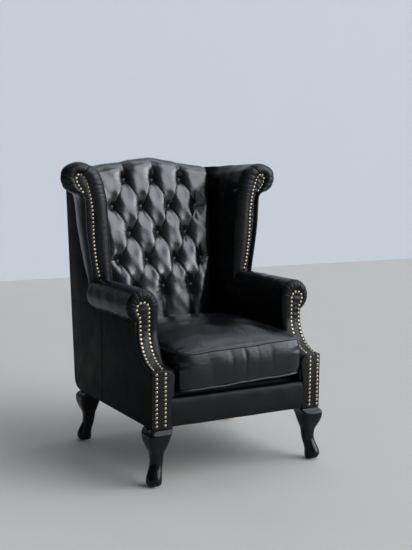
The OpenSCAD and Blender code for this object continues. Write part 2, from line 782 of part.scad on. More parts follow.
// Leg at positive X; fore is -1 for a front leg and 1 for a back leg
module cabriole(y, fore) {
    rings = [for (s = leg_shares)
        let (half = (s[2] * leg_top_w + s[3] * ankle_w + s[4] * foot_w) / 2,
             c = [foot_shift_x, fore * foot_shift_y] * s[1])
        [for (i = [0:leg_n - 1]) let (a = i * 360 / leg_n) [
            leg_x + c[0] + half * signed_pow(cos(a), 2 / s[5]),
            y + c[1] + half * signed_pow(sin(a), 2 / s[5]),
            glide_t + s[0] * (leg_h - glide_t)
        ]]];
    difference() {
        ring_solid(rings);
        bolt_at(y, fore) translate([0, 0, bolt_z0 - eps]) cylinder(h = bolt_len, r = bolt_r + bolt_gap);
    }
}

// Moves a bolt or bore to its place in a leg's top
module bolt_at(y, fore) translate([leg_x - bolt_shift, y - fore * bolt_shift, 0]) children();

module leg_front(side) color("#0a0a0b") hand(side) cabriole(front_leg_y, -1);
module leg_back(side) color("#0a0a0b") hand(side) cabriole(back_leg_y, 1);

// Repeats a piece for the four legs, given its depth and direction through special variables
module each_leg() {
    for (side = [-1, 1]) hand(side) {
        $leg_y = front_leg_y;
        $fore = -1;
        children();
    }
    for (side = [-1, 1]) hand(side) {
        $leg_y = back_leg_y;
        $fore = 1;
        children();
    }
}

module foot_glides() color("#e8e6e0") each_leg()
    translate([leg_x + foot_shift_x * leg_shares[0][1], $leg_y + $fore * foot_shift_y * leg_shares[0][1], 0])
        cylinder(h = glide_t, r = glide_r);

module leg_plates() {
    w = leg_top_w - skin_t * 2;
    color("#8f9296") each_leg() difference() {
        translate([leg_x - w / 2, $leg_y - w / 2, leg_h]) cube([w, w, plate_t]);
        bolt_at($leg_y, $fore) translate([0, 0, leg_h - eps])
            cylinder(h = plate_t + eps * 2, r = bolt_r + bolt_gap);
    }
}

module leg_bolts() color("#a8abb0") each_leg()
    bolt_at($leg_y, $fore) translate([0, 0, bolt_z0]) cylinder(h = bolt_len, r = bolt_r);

// Seat frame

front_rail_y0 = skin_t;
front_rail_y1 = skin_t + rail_t;
back_rail_y0 = heel_y - rail_t;
module front_seat_rail() color("#b08d57") place()
    block([-board_x0, front_rail_y0, frame_z0], [board_x0, front_rail_y1, rail_top_z]);

module back_seat_rail() color("#b08d57") place()
    block([-side_rail_x0, back_rail_y0, frame_z0], [side_rail_x0, heel_y, rail_top_z]);

module side_seat_rail(side) color("#b08d57") hand(side) across(side_rail_x0, board_x1) polygon([
    [column_d, frame_z0], [heel_y, frame_z0], [heel_y, frame_z0 + skin_t],
    [post_y(heel_z), heel_z], [post_y(rail_top_z), rail_top_z], [column_d, rail_top_z]
]);

// Glued blocks in the corners of the seat frame, bored for the leg bolts
block_leg = 70;
block_h = 60;
module corner_blocks() {
    front = [
        [board_x0, front_rail_y1], [board_x0, column_d], [side_rail_x0, column_d],
        [side_rail_x0, front_rail_y1 + block_leg], [side_rail_x0 - block_leg, front_rail_y1]
    ];
    rear = [
        [side_rail_x0, back_rail_y0], [side_rail_x0 - block_leg, back_rail_y0],
        [side_rail_x0, back_rail_y0 - block_leg]
    ];
    color("#a5824e") each_leg() difference() {
        translate([0, 0, frame_z0]) linear_extrude(block_h) polygon($fore < 0 ? front : rear);
        bolt_at($leg_y, $fore) translate([0, 0, frame_z0 - eps])
            cylinder(h = block_h, r = bolt_r + bolt_gap);
    }
}

// Back frame

module back_post(side) color("#b08d57") hand(side) across(board_x1 - post_w, board_x1) polygon([
    [post_y(heel_z), heel_z], [back_in_y(heel_z), heel_z], [back_in_y(post_top_z), post_top_z],
    [post_y(post_top_z), post_top_z]
]);

// Rail between the back posts, from z0 to z1
module back_rail(z0, z1) color("#b08d57") place() across(-board_x1 + post_w, board_x1 - post_w) polygon([
    [post_y(z0), z0], [back_in_y(z0), z0], [back_in_y(z1), z1], [post_y(z1), z1]
]);

top_rail_h = 45;
lower_rail_h = 50;
module back_top_rail() back_rail(post_top_z - top_rail_h, post_top_z);
module back_lower_rail() back_rail(deck_z + rail_h, deck_z + rail_h + lower_rail_h);

// Straps across the front of the posts
strap_w = 50;
module back_webbing() {
    straps = 5;
    span_z = post_top_z - strap_w - seam_z;
    color("#6b5a3c") place() for (i = [0:straps - 1]) {
        z = seam_z + i * span_z / (straps - 1);
        across(-board_x0, board_x0) polygon([
            [stuff_y(z), z], [post_y(z), z],
            [post_y(z + strap_w), z + strap_w], [stuff_y(z + strap_w), z + strap_w]
        ]);
    }
}

// Seat springs: flat sinuous wires from the front rail to the back rail, under the deck
wire = 4;
springs = 5;
bend_r = 16;
spring_x0 = -side_rail_x0 * 0.8;
spring_step = side_rail_x0 * 1.6 / (springs - 1);
module sinuous(y0, y1) {
    bar = bend_r * 1.6;
    n = floor((y1 - y0 - wire) / (bend_r * 2));
    lead = (y1 - y0 - wire - n * bend_r * 2) / 2;
    for (i = [0:n]) translate([-bar / 2, y0 + lead + i * bend_r * 2]) square([bar, wire]);
    for (i = [0:n - 1]) let (s = i % 2 == 0 ? 1 : -1)
        translate([s * bar / 2, y0 + lead + (i + 0.5) * bend_r * 2 + wire / 2]) intersection() {
            difference() {
                circle(bend_r + wire / 2);
                circle(bend_r - wire / 2);
            }
            translate([s > 0 ? 0 : -bend_r * 2, -bend_r * 2]) square([bend_r * 2, bend_r * 4]);
        }
    translate([-wire / 2, y0]) square([wire, lead + wire]);
    translate([-wire / 2, y1 - lead - wire]) square([wire, lead + wire]);
}

module seat_springs() color("#7d8084") place() for (i = [0:springs - 1])
    translate([spring_x0 + i * spring_step, 0, rail_top_z - wire]) linear_extrude(wire)
        sinuous(front_rail_y1, back_rail_y0);

module spring_clips() {
    clip = [wire * 4, wire * 1.5, wire * 2.5];
    color("#9a9da1") place() for (i = [0:springs - 1], y = [front_rail_y1, back_rail_y0 - clip[1]])
        translate([spring_x0 + i * spring_step - clip[0] / 2, y, rail_top_z - wire - clip[2]]) cube(clip);
}

// Thin cloth under the seat frame, cut clear of the leg plates
module dust_cover() {
    inset = skin_t * 2;
    clear = leg_top_w + skin_t;
    color("#202022") place() translate([0, 0, frame_z0 - dust_t]) linear_extrude(dust_t) union() {
        translate([-board_x1 + clear, inset]) square([(board_x1 - clear) * 2, heel_y - inset * 2]);
        translate([-board_x1 + skin_t, clear + inset])
            square([(board_x1 - skin_t) * 2, heel_y - (clear + inset) * 2]);
    }
}

back_pad();
back_buttons();
outside_back();
wing_pad(1);  // wing_pad_left
wing_pad(-1);  // wing_pad_right
wing_facing(1);  // wing_facing_left
wing_facing(-1);  // wing_facing_right
wing_outside(1);  // wing_outside_left
wing_outside(-1);  // wing_outside_right
wing_nails(1);  // wing_nails_left
wing_nails(-1);  // wing_nails_right
wing_board(1);  // wing_board_left
wing_board(-1);  // wing_board_right
arm_pad(1);  // arm_pad_left
arm_pad(-1);  // arm_pad_right
arm_facing(1);  // arm_facing_left
arm_facing(-1);  // arm_facing_right
arm_column(1);  // arm_column_left
arm_column(-1);  // arm_column_right
arm_outside(1);  // arm_outside_left
arm_outside(-1);  // arm_outside_right
arm_nails(1);  // arm_nails_left
arm_nails(-1);  // arm_nails_right
arm_post(1);  // arm_post_left
arm_post(-1);  // arm_post_right
arm_rail(1);  // arm_rail_left
arm_rail(-1);  // arm_rail_right
leg_front(1);  // leg_front_left
leg_front(-1);  // leg_front_right
leg_back(1);  // leg_back_left
leg_back(-1);  // leg_back_right
side_seat_rail(1);  // side_seat_rail_left
side_seat_rail(-1);  // side_seat_rail_right
back_post(1);  // back_post_left
back_post(-1);  // back_post_right
front_border();
seat_cushion();
seat_deck();
dust_cover();
foot_glides();
leg_plates();
leg_bolts();
front_seat_rail();
back_seat_rail();
corner_blocks();
back_top_rail();
back_lower_rail();
back_webbing();
seat_springs();
spring_clips();
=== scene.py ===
import math

import bmesh
import bpy
import numpy as np
from mathutils import Matrix, Vector


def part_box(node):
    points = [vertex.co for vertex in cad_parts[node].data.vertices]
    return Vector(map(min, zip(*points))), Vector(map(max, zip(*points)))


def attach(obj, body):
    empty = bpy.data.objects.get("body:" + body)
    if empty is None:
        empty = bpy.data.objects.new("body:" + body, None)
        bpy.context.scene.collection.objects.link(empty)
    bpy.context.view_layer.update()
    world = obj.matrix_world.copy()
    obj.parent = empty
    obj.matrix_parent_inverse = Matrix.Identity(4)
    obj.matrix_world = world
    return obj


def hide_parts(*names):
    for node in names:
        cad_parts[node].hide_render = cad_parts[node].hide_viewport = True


bl_info = {
    "name": "Tufted Wing Armchair",
    "version": (1, 0, 0),
    "blender": (4, 5, 0),
    "location": "3D View, Sidebar, Armchair",
    "description": "Builds a button-tufted leather wing armchair piece by piece",
    "category": "Add Mesh",
}

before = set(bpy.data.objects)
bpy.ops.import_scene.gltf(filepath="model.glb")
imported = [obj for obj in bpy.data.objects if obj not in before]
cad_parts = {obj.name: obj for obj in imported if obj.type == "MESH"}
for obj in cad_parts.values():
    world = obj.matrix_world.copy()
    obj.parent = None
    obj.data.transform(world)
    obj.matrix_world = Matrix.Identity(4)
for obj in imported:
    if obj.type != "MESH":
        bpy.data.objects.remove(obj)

MM = 0.001
# Depth of the columns' front face, from which the chair's own depths are counted
FRONT_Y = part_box("arm_column_left")[0].y


# Tables in millimetres: x and z of the left side in a view from the front

# Wing: outline x, z; nail line x, z; rear end x, z; depth where the rear place is reached; power
WING = [
    (249, 560, 306, 610, 233, 555, 600, 1.5),
    (250, 590, 307, 622, 234, 585, 602, 1.5),
    (256, 660, 314, 665, 241, 660, 618, 1.5),
    (262, 730, 324, 725, 248, 730, 637, 1.5),
    (266, 829, 334, 815, 257, 829, 663, 1.5),
    (270, 869, 335, 865, 260, 869, 673, 1.5),
    (274, 923, 341, 918, 264, 915, 686, 1.4),
    (281.5, 959, 350, 955, 266, 945, 700, 1.3),
    (288, 985, 357, 980, 267, 965, 720, 1.2),
    (298.5, 1011, 364.5, 997, 268, 985, 745, 1.1),
    (312, 1033, 371, 1006, 269, 1003, 760, 1.1),
    (337, 1047, 378, 1013, 270, 1022, 760, 1.1),
    (362, 1056, 383, 1016, 271, 1035, 760, 1.1),
    (387, 1059, 388, 1016, 273, 1042, 760, 1.1),
    (409.7, 1054.8, 393, 1015, 281, 1041.5, 760, 1.1),
    (432.3, 1044, 397, 1011, 294, 1038.5, 760, 1.1),
    (447.4, 1026.5, 398.5, 1004, 307, 1035, 760, 1.1),
    (451.3, 1005.5, 398.3, 997, 320, 1029, 760, 1.1),
    (449.6, 988, 395, 989, 329, 1018, 760, 1.1),
    (440, 967, 390, 977, 332, 1006, 760, 1.1),
    (422, 953, 384.5, 967, 333, 994, 760, 1.1),
    (408, 947, 380, 960, 333, 980, 757, 1.15),
    (394, 943, 374, 951.5, 333, 970, 740, 1.3),
    (383, 935, 366, 940, 333, 960, 700, 1.7),
    (379, 922, 361, 924, 331.5, 945, 670, 2.0),
    (377.5, 905, 359, 905, 329, 905, 650, 2.2),
    (376, 870, 358, 870, 329, 870, 642, 2.2),
    (374, 830, 356, 830, 329, 830, 632, 2.1),
    (369, 780, 351, 780, 329, 780, 615, 2),
    (360, 717, 342, 717, 329, 717, 592, 1.8),
    (353, 669, 335, 669, 329, 669, 568, 1.6),
    (349, 640, 332, 640, 329, 640, 548, 1.5),
    (342, 600, 329, 600, 329, 600, 525, 1.3),
    (300, 575, 306, 600, 300, 570, 620, 1.5),
    (249, 560, 306, 610, 233, 555, 600, 1.5),
]

# Arm: outline x, z; nail line x, z
ARM = [
    (250, 300, 264, 300),
    (250, 340, 264, 340),
    (250, 378, 289, 384),
    (250, 430, 289, 430),
    (250, 480, 289, 480),
    (250, 530, 289, 530),
    (250, 560, 289, 560),
    (250, 582, 289.5, 574),
    (252, 597, 290.5, 582),
    (257.8, 611, 293, 588.5),
    (270.7, 626.4, 297.5, 593.5),
    (288.2, 636.5, 303, 596.3),
    (308, 640, 309.5, 597),
    (327.8, 636.5, 316.5, 596.6),
    (345.3, 626.4, 322.5, 594),
    (358.2, 611, 328, 589.5),
    (365.1, 592, 332, 584),
    (365.1, 572, 334, 576),
    (358.2, 553, 332.5, 567),
    (347.5, 539.6, 329, 559),
    (337, 531.8, 326, 552),
    (333.5, 526, 323.5, 546),
    (333, 515, 321, 538),
    (333, 490, 321, 500),
    (333, 460, 321, 465),
    (333, 430, 321, 432),
    (333, 405, 321, 407),
    (333, 389, 321, 389),
    (330, 383, 319, 380),
    (326, 365, 316, 360),
    (322, 304, 312, 308),
    (258, 303, 268, 306),
    (250, 300, 264, 300),
]

# Leg: height share, outward share, shares of the top, ankle and foot width, and squareness
LEG = [
    (0, 0.92, 0, 0, 0.66, 2),
    (0.015, 0.95, 0, 0, 0.84, 2),
    (0.055, 1.02, 0, 0, 0.97, 2),
    (0.11, 1.04, 0, 0, 1, 2.1),
    (0.17, 0.98, 0, 0, 0.95, 2.1),
    (0.24, 0.82, 0, 0.5, 0.48, 2.2),
    (0.31, 0.62, 0, 1, 0.03, 2.3),
    (0.39, 0.46, 0, 1, 0, 2.4),
    (0.47, 0.4, 0.1, 0.86, 0, 2.6),
    (0.56, 0.4, 0.36, 0.5, 0, 3),
    (0.66, 0.46, 0.68, 0.3, 0, 3.5),
    (0.75, 0.5, 0.98, 0.06, 0, 4.2),
    (0.82, 0.5, 1.09, 0, 0, 5),
    (0.88, 0.42, 1.13, 0, 0, 6),
    (0.93, 0.25, 1.14, 0, 0, 8),
    (0.97, 0, 1.1, 0, 0, 10),
    (1, -0.2, 1.02, 0, 0, 12),
]

# Tufting: pitches of the buttons, height of the top row, number of rows
PITCH_X = 122.0
PITCH_Z = 102.5
TOP_ROW_Z = 989.0
ROWS = 5
# Plane through the buttons: its lean, and a place on it as depth and height
TUFT_LEAN = math.tan(math.radians(14.7))
TUFT_Y, TUFT_Z = 634, 784
# Inner face of the outside back: its lean, and a place on it as depth and height
OUTER_LEAN = math.tan(math.radians(6))
OUTER_Y, OUTER_Z = 670.5, 241
# Arched top of the back: height of its peak, drop from there to each side, padding under the peak
PEAK_Z = 1081
ARCH_SHARE = 0.15
PEAK_DROP = 16
# Half the width of the tufted back, measured round its padding
BACK_HALF = 271.0
# Face of the back: rows of it under the top row, height at which its padding is slimmest, and how
# far its top edge turns
FACE_ROWS, SLIM_Z, TOP_TURN = 6.7, 330, 27
# Sides of the tufted back by height: half the width, radius of the turn, how far they reach back
SIDE_HALF = ([300, 590, 1000], [236, 240, 269])
SIDE_ROUND = ([300, 560, 680, 1000], [120, 95, 56, 40])
SIDE_REACH = ([300, 560, 680, 1000], [100, 75, 50, 40])
# Front sweep of the arms: radius and height of its centre, and depth of the front under it
SWEEP_R = 121.0
SWEEP_Z = 510.0
LOW_FRONT_Y = 6
# Line where the wing's roll meets the outside wing panel: depth, height
WING_EDGE = np.array([
    (470, 540), (474, 599), (520, 640), (556, 669), (588, 717), (613, 780), (631, 830), (642, 870),
    (650, 905),
])
# Depth in metres of the step in the arm's outside panel, and how far its upper part moves forward
STEP_Y, STEP_SHIFT = 0.505, 0.035
# Seam across the outside arm panel
SIDE_SEAM_Y = 408.0
# Steps of the tufting grid between two buttons, so that its lines meet every fold
FOLD_STEPS = 28
# Nailed fronts: depths of the wing's nails and crest, how far the padding turns back round its edge,
# how far the arm's nails lie behind its crest, and the share of the way over the padding to a crest
WING_FACE_Y, WING_CREST_Y = 485, 472
WING_TURN, ARM_TURN = 14, 14
ARM_FALL = 2
CREST = 0.4
# Rows of the tables between which the scrolls are gathered, and the number of gathers
WING_SCROLL, WING_GATHERS = (6.2, 21.5), 11
ARM_SCROLL, ARM_GATHERS = (7.0, 21.0), 14
# Arm's roll: depth of its rear end, how much further the inner side runs and how far it leans in,
# how far the outer side steps in, bulge of the rear end and the place where that closes
ROLL_REAR_Y, INNER_RUN, INNER_LEAN = 463, 175, 14
OUTER_STEP, END_BULGE = 7, 20
ROLL_END = np.array([306.0, 505.0, 560.0])
# Cushion: half its width, its depths, the heights of its seams, and its middle
CUSHION_HALF = 244.0
CUSHION_FRONT, CUSHION_REAR = -9.0, 498.0
LOW_SEAM = 321.0
HIGH_SEAM = 444.0
CUSHION_MIDDLE = np.array([0.0, 244.0])
# Limits of the cushion: height of its lowest places, half the width between the arms
CUSHION_LOW_Z, CUSHION_REACH = 301.0, 249
# Bulges of the unfilled cushion under its lower seam and between its seams, half width and half
# depth of its crown, and how much higher it lies at the sitter's left
UNDER_BULGE, BOXING_BULGE = 18, 11
CROWN_HALF_X, CROWN_HALF_Y = 243, 254
CUSHION_TILT = 9
# Filling of the cushion as cloth: size of a cell and furthest move in metres, number of steps, and
# height in millimetres to either side of a seam that is held
CELL, FURTHEST, FILL_STEPS, SEAM_HOLD = 0.006, 0.014, 20, 8
# Legs: widths of top, ankle and foot, outward shifts of the foot, places of the tops
LEG_WIDTHS = (72, 43, 54)
LEG_SHIFT_X, LEG_SHIFT_Y = 22, 17
LEG_X, FRONT_LEG_Y, BACK_LEG_Y = 297, 36, 596
# Shoulder of a column's inner edge: its centre and radius
SHOULDER_X, SHOULDER_Z, SHOULDER_R = 292, 359, 30
# Height of the border's top, and in metres how far a column's padding stands in over it
BORDER_TOP_Z, COLUMN_PAD = 295, 0.0105
# Rounding of the edges of the outside panels, the columns and the outside back
PANEL_SOFT, COLUMN_SOFT, BACK_SOFT = 2.6, 6.5, 2.0
# Sewn seam: offsets of the cuts along it, and its depth in metres
SEAM_CUTS, SEAM_DEPTH = (-6.0, -2.5, 0.0, 2.5, 6.0), 0.0022
# Stage in metres: radius of the floor, size of the wall and how far it stands behind
FLOOR_RADIUS, WALL_SIZE, WALL_Y = 40, 14, 5
# Tint of the lamps
LAMP_TINT = (0.9, 0.95, 1.0)
# Distance in metres under which two places count as one
SAME = 2e-5
# Each side's sign and word
SIDES = ((1, "left"), (-1, "right"))
# Camera: turn, rise and roll in degrees, and its place in metres
CAMERA_ANGLES = (-29.89, 6.87, 0.56)
CAMERA_PLACE = (-1.6543, -3.0085, 1.0604)

# Grain of the leather: depth in metres, cells per metre
GRAIN, GRAIN_SCALE = 0.00005, 620
# Roughness, specular share and depth of the creases, in metres, of each leather
LEATHERS = {
    "Pad": (0.175, 0.74, 0.0008),
    "Roll": (0.25, 0.22, 0.001),
    "Arm": (0.25, 0.13, 0.001),
    "Panel": (0.42, 0.03, 0.0008),
    "Border": (0.42, 0.14, 0.0008),
    "Cushion": (0.2, 0.36, 0.001),
}


# Points and grids


def metres(points):
    """Turns millimetres, with y from the columns' front, into the frame's metres."""
    out = np.array(points, float) * MM
    out[..., 1] += FRONT_Y
    return out


def squared(wave, power):
    """A wave from -1 to 1 filled out towards a square one by a power under 1."""
    return np.sign(wave) * np.abs(wave) ** power


def rise(value, start, span):
    """Share from 0 to 1 of the way that a value has gone from a start over a span."""
    return np.clip((value - start) / span, 0, 1)


def smooth_rows(table, count, weight=None):
    """Resamples a table evenly along a smooth curve through its first two columns, times a weight."""
    rows = np.array(table, float)
    rows = np.column_stack([rows, np.arange(len(rows))])
    ends = np.vstack([2 * rows[0] - rows[1], rows, 2 * rows[-1] - rows[-2]])
    t = (np.arange(12) / 12)[:, None]
    parts = []
    for a, b, c, d in zip(ends, ends[1:], ends[2:], ends[3:]):
        bends = t**2 * (2 * a - 5 * b + 4 * c - d) / 2, t**3 * (3 * b - a - 3 * c + d) / 2
        parts.append(b + t * (c - a) / 2 + bends[0] + bends[1])
    fine = np.vstack(parts + [rows[-1:]])
    step = np.hypot(*np.diff(fine[:, :2], axis=0).T)
    if weight is not None:
        step = step * weight((fine[1:, -1] + fine[:-1, -1]) / 2)
    done = np.r_[0, np.cumsum(step)]
    even = np.linspace(0, done[-1], count + 1)
    return np.column_stack([np.interp(even, done, c) for c in fine.T])


def length_along(points):
    """Length of a path up to each of its points."""
    return np.r_[0, np.cumsum(np.linalg.norm(np.diff(points, axis=0), axis=1))]


def normals(points, wrap=False):
    """Unit normals of a grid of points, closed from its last column to its first with wrap."""
    if wrap:
        wide = np.concatenate([points[:, -2:-1], points, points[:, 1:2]], axis=1)
        across = np.gradient(wide, axis=1)[:, 1:-1]
    else:
        across = np.gradient(points, axis=1)
    n = np.cross(across, np.gradient(points, axis=0))
    return n / np.maximum(np.linalg.norm(n, axis=-1, keepdims=True), 1e-9)


def outward(points, place, axis, sign, wrap=False):
    """Normals of a grid, turned so that the one at a place points along an axis with a sign."""
    n = normals(points, wrap)
    return -n if n[place][axis] * sign < 0 else n


def add_grid(bm, points):
    """Adds a grid of faces through the points, in millimetres, of an array of rows and columns."""
    rows, cols = points.shape[:2]
    placed = metres(points)
    for v in bmesh.ops.create_grid(bm, x_segments=cols - 1, y_segments=rows - 1, size=0.5)["verts"]:
        v.co = placed[round((v.co.y + 0.5) * (rows - 1)), round((v.co.x + 0.5) * (cols - 1))]


def hand(points, side):
    """Points of the left side, or their mirror image for the right side."""
    out = np.array(points, float)
    out[..., 0] *= side
    return out


def fill_rims(bm):
    """Closes each open rim by one flat face."""
    rim = [e for e in bm.edges if e.is_boundary]
    if rim:
        bmesh.ops.holes_fill(bm, edges=rim, sides=0)


def sheet(points):
    """A bmesh of a grid of points with its seams merged."""
    bm = bmesh.new()
    add_grid(bm, points)
    bmesh.ops.remove_doubles(bm, verts=bm.verts, dist=SAME)
    return bm


def closed(points):
    """A bmesh of a grid of points with its seams merged and its ends closed."""
    bm = sheet(points)
    fill_rims(bm)
    return bm


def slice_at(bm, point, normal, clear=False):
    """Cuts all faces along a plane through a point in millimetres, and clears one side if asked."""
    parts = [*bm.verts, *bm.edges, *bm.faces]
    bmesh.ops.bisect_plane(bm, geom=parts, plane_co=metres(point), plane_no=normal, clear_inner=clear)


def fill_flat(bm, rim):
    """Closes a rim that bends out of a plane by triangles laid as they are seen from the front."""
    bmesh.ops.triangle_fill(bm, edges=rim, use_beauty=True, use_dissolve=False, normal=(0, -1, 0))


def close_behind(bm, back):
    """Gives an open sheet its rear: its rim runs back by an offset in millimetres and is closed."""
    rim = [e for e in bm.edges if e.is_boundary]
    made = bmesh.ops.extrude_edge_only(bm, edges=rim)["geom"]
    new = [g for g in made if isinstance(g, bmesh.types.BMVert)]
    bmesh.ops.translate(bm, verts=new, vec=Vector(back) * MM)
    fill_flat(bm, [e for e in bm.edges if e.is_boundary])


def link(name, data):
    """A new object in the scene."""
    obj = bpy.data.objects.new(name, data)
    bpy.context.scene.collection.objects.link(obj)
    return obj


def from_bmesh(bm, name, material):
    """A new object of a bmesh with a material."""
    mesh = bpy.data.meshes.new(name)
    bm.to_mesh(mesh)
    bm.free()
    mesh.materials.append(material)
    return link(name, mesh)


def finish_piece(bm, name, material, body="chair", sharp=None, merge=SAME):
    """Turns a bmesh into a smooth closed piece that rides on a body."""
    bmesh.ops.remove_doubles(bm, verts=bm.verts, dist=merge)
    bmesh.ops.recalc_face_normals(bm, faces=bm.faces)
    obj = from_bmesh(bm, name, material)
    obj.data.shade_smooth()
    if sharp is not None:
        obj.data.set_sharp_from_angle(angle=math.radians(sharp))
    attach(obj, body)
    return obj


def copy_node(node, soft, cut=(), shape=None):
    """A merged copy of a CAD node with its edges rounded off, cut and shaped first."""
    bm = bmesh.new()
    bm.from_mesh(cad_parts[node].data)
    bmesh.ops.remove_doubles(bm, verts=bm.verts, dist=1e-5)
    bmesh.ops.dissolve_limit(bm, angle_limit=math.radians(0.5), verts=bm.verts, edges=bm.edges)
    for point, normal in cut:
        slice_at(bm, point, normal, clear=True)
        fill_rims(bm)
    if shape is not None:
        shape(bm)
    bmesh.ops.recalc_face_normals(bm, faces=bm.faces)
    keen = [e for e in bm.edges if e.is_manifold and e.calc_face_angle(0) > math.radians(25)]
    look = {"offset_type": "OFFSET", "segments": 4, "profile": 0.5, "affect": "EDGES", "material": -1}
    bmesh.ops.bevel(bm, geom=keen, offset=soft * MM, clamp_overlap=True, **look)
    return bm


def widen_column(bm):
    """Pads a column's inner side over the border."""
    slice_at(bm, (0, 0, BORDER_TOP_Z), (0, 0, 1))
    for v in bm.verts:
        if v.co.z > (BORDER_TOP_Z + 0.5) * MM:
            inner = min(1, max(0, (SHOULDER_X * MM - abs(v.co.x)) / (SHOULDER_R * MM)))
            v.co.x -= math.copysign(COLUMN_PAD * inner, v.co.x)


def reach_forward(bm):
    """Brings an arm panel's upper part forward under the end of the roll."""
    for v in bm.verts:
        if abs(v.co.y - FRONT_Y - STEP_Y) < 0.003:
            v.co.y -= STEP_SHIFT


def slant_edge(bm):
    """Brings a wing panel's front edge onto the line where the roll meets it."""
    for z in WING_EDGE[1:-1, 1]:
        slice_at(bm, (0, 0, z), (0, 0, 1))
    crease = max(v.co.y for v in bm.verts if 0.9 < v.co.z < 0.96 and v.co.y < FRONT_Y + 0.7)
    for v in bm.verts:
        if v.co.y < crease + 0.001 and v.co.z < 0.95:
            edge = float(np.interp(v.co.z / MM, WING_EDGE[:, 1], WING_EDGE[:, 0]))
            v.co.y = min(v.co.y, FRONT_Y + MM * edge)


def groove(bm, y, side):
    """Draws a sewn seam across an outside panel at a depth y in millimetres."""
    for shift in SEAM_CUTS:
        slice_at(bm, (0, y + shift, 0), (0, 1, 0))
    outer = max(side * v.co.x for v in bm.verts)
    for v in bm.verts:
        if abs(v.co.y - FRONT_Y - y * MM) < 0.0003 and side * v.co.x > outer - 0.0005:
            v.co.x -= side * SEAM_DEPTH


def ripple(x, y, z, size, seed):
    """Smooth irregular waves from -1 to 1 at places in millimetres, about size apart."""
    k = 2 * math.pi / size
    a, b, c = seed * 1.7, seed * 2.9, seed * 4.3
    first = np.sin(k * (0.9 * x + 0.35 * y + 0.2 * z) + a)
    second = np.sin(k * (0.25 * x - 0.5 * y + 0.85 * z) + b)
    third = np.sin(k * 1.7 * (0.4 * x + 0.8 * y - 0.45 * z) + c)
    return (first * second + 0.6 * third) / 1.6


# Materials


def node_tree(name, roughness, specular):
    """A new material, its nodes, its Principled shader and its object coordinates."""
    made = bpy.data.materials.new(name)
    made.use_nodes = True
    tree = made.node_tree
    shader = tree.nodes["Principled BSDF"]
    shader.inputs["Roughness"].default_value = roughness
    shader.inputs["Specular IOR Level"].default_value = specular
    place = tree.nodes.new("ShaderNodeTexCoord").outputs["Object"]
    return made, tree, shader, place


def noise(tree, place, scale, detail=3.0, twist=0.0, rough=0.5):
    """Noise of a scale in cells per metre."""
    made = tree.nodes.new("ShaderNodeTexNoise")
    tree.links.new(place, made.inputs["Vector"])
    made.inputs["Scale"].default_value = scale
    made.inputs["Detail"].default_value = detail
    made.inputs["Roughness"].default_value = rough
    made.inputs["Distortion"].default_value = twist
    return made.outputs["Fac"]


def between(tree, value, low, high, to_low=0.0, to_high=1.0):
    """Maps a value from one range to another, held at its ends."""
    made = tree.nodes.new("ShaderNodeMapRange")
    tree.links.new(value, made.inputs["Value"])
    for name, v in (("From Min", low), ("From Max", high), ("To Min", to_low), ("To Max", to_high)):
        made.inputs[name].default_value = v
    return made.outputs["Result"]


def blend_colours(tree, share, first, second):
    """Mixes two colours by a share."""
    made = tree.nodes.new("ShaderNodeMix")
    made.data_type = "RGBA"
    tree.links.new(share, made.inputs["Factor"])
    for i, c in ((6, first), (7, second)):
        if isinstance(c, bpy.types.NodeSocket):
            tree.links.new(c, made.inputs[i])
        else:
            made.inputs[i].default_value = (*c[:3], 1)
    return made.outputs[2]


def paint(tree, shader, tone, normal=None, polish=None):
    """Links a tone, and a surface and a polish where given, to a shader."""
    for value, name in ((tone, "Base Color"), (normal, "Normal"), (polish, "Roughness")):
        if value is not None:
            tree.links.new(value, shader.inputs[name])


def bump(tree, height, depth, normal=None):
    """Bump of a depth in metres on top of another normal."""
    made = tree.nodes.new("ShaderNodeBump")
    made.inputs["Strength"].default_value = 1.0
    made.inputs["Distance"].default_value = depth
    tree.links.new(height, made.inputs["Height"])
    if normal is not None:
        tree.links.new(normal, made.inputs["Normal"])
    return made.outputs["Normal"]


def leather(name, colour, roughness, specular, crease):
    """Dyed leather: fine grain, soft creases, a lighter rubbed tone on what stands out."""
    if name in bpy.data.materials:
        return bpy.data.materials[name]
    made, tree, shader, place = node_tree(name, roughness, specular)
    cells = tree.nodes.new("ShaderNodeTexVoronoi")
    cells.feature = "DISTANCE_TO_EDGE"
    tree.links.new(place, cells.inputs["Vector"])
    cells.inputs["Scale"].default_value = GRAIN_SCALE
    cell = between(tree, cells.outputs["Distance"], 0.0, 0.25)
    creases = noise(tree, place, 26, 4, 0.7, 0.55)
    soft = noise(tree, place, 8, 2)
    surface = bump(tree, cell, GRAIN, bump(tree, creases, crease))
    rubbed = tree.nodes.new("ShaderNodeNewGeometry").outputs["Pointiness"]
    wear = between(tree, rubbed, 0.52, 0.6, 0.0, 0.35)
    spread = between(tree, soft, 0.35, 0.65)
    tone = blend_colours(tree, spread, colour, [c * 1.5 for c in colour])
    tone = blend_colours(tree, wear, tone, [min(1, c * 3 + 0.01) for c in colour])
    patches = noise(tree, place, 15, 3)
    polish = between(tree, patches, 0.3, 0.7, roughness - 0.06, roughness + 0.07)
    paint(tree, shader, tone, surface, polish)
    return made


def simple(
    name, colour, roughness, specular=0.5, metal=0.0, scale=60, second=None, depth=0.0002, coat=0.0
):
    """A plain finish with a little variation of tone, polish and surface."""
    if name in bpy.data.materials:
        return bpy.data.materials[name]
    made, tree, shader, place = node_tree(name, roughness, specular)
    shader.inputs["Metallic"].default_value = metal
    shader.inputs["Coat Weight"].default_value = coat
    shader.inputs["Coat Roughness"].default_value = 0.03
    spread = noise(tree, place, scale, 4)
    share = between(tree, spread, 0.3, 0.7)
    tone = blend_colours(tree, share, colour, second or [c * 1.25 for c in colour])
    polish = between(tree, spread, 0.3, 0.7, roughness * 0.85, roughness * 1.15)
    paint(tree, shader, tone, bump(tree, spread, depth) if depth else None, polish)
    return made


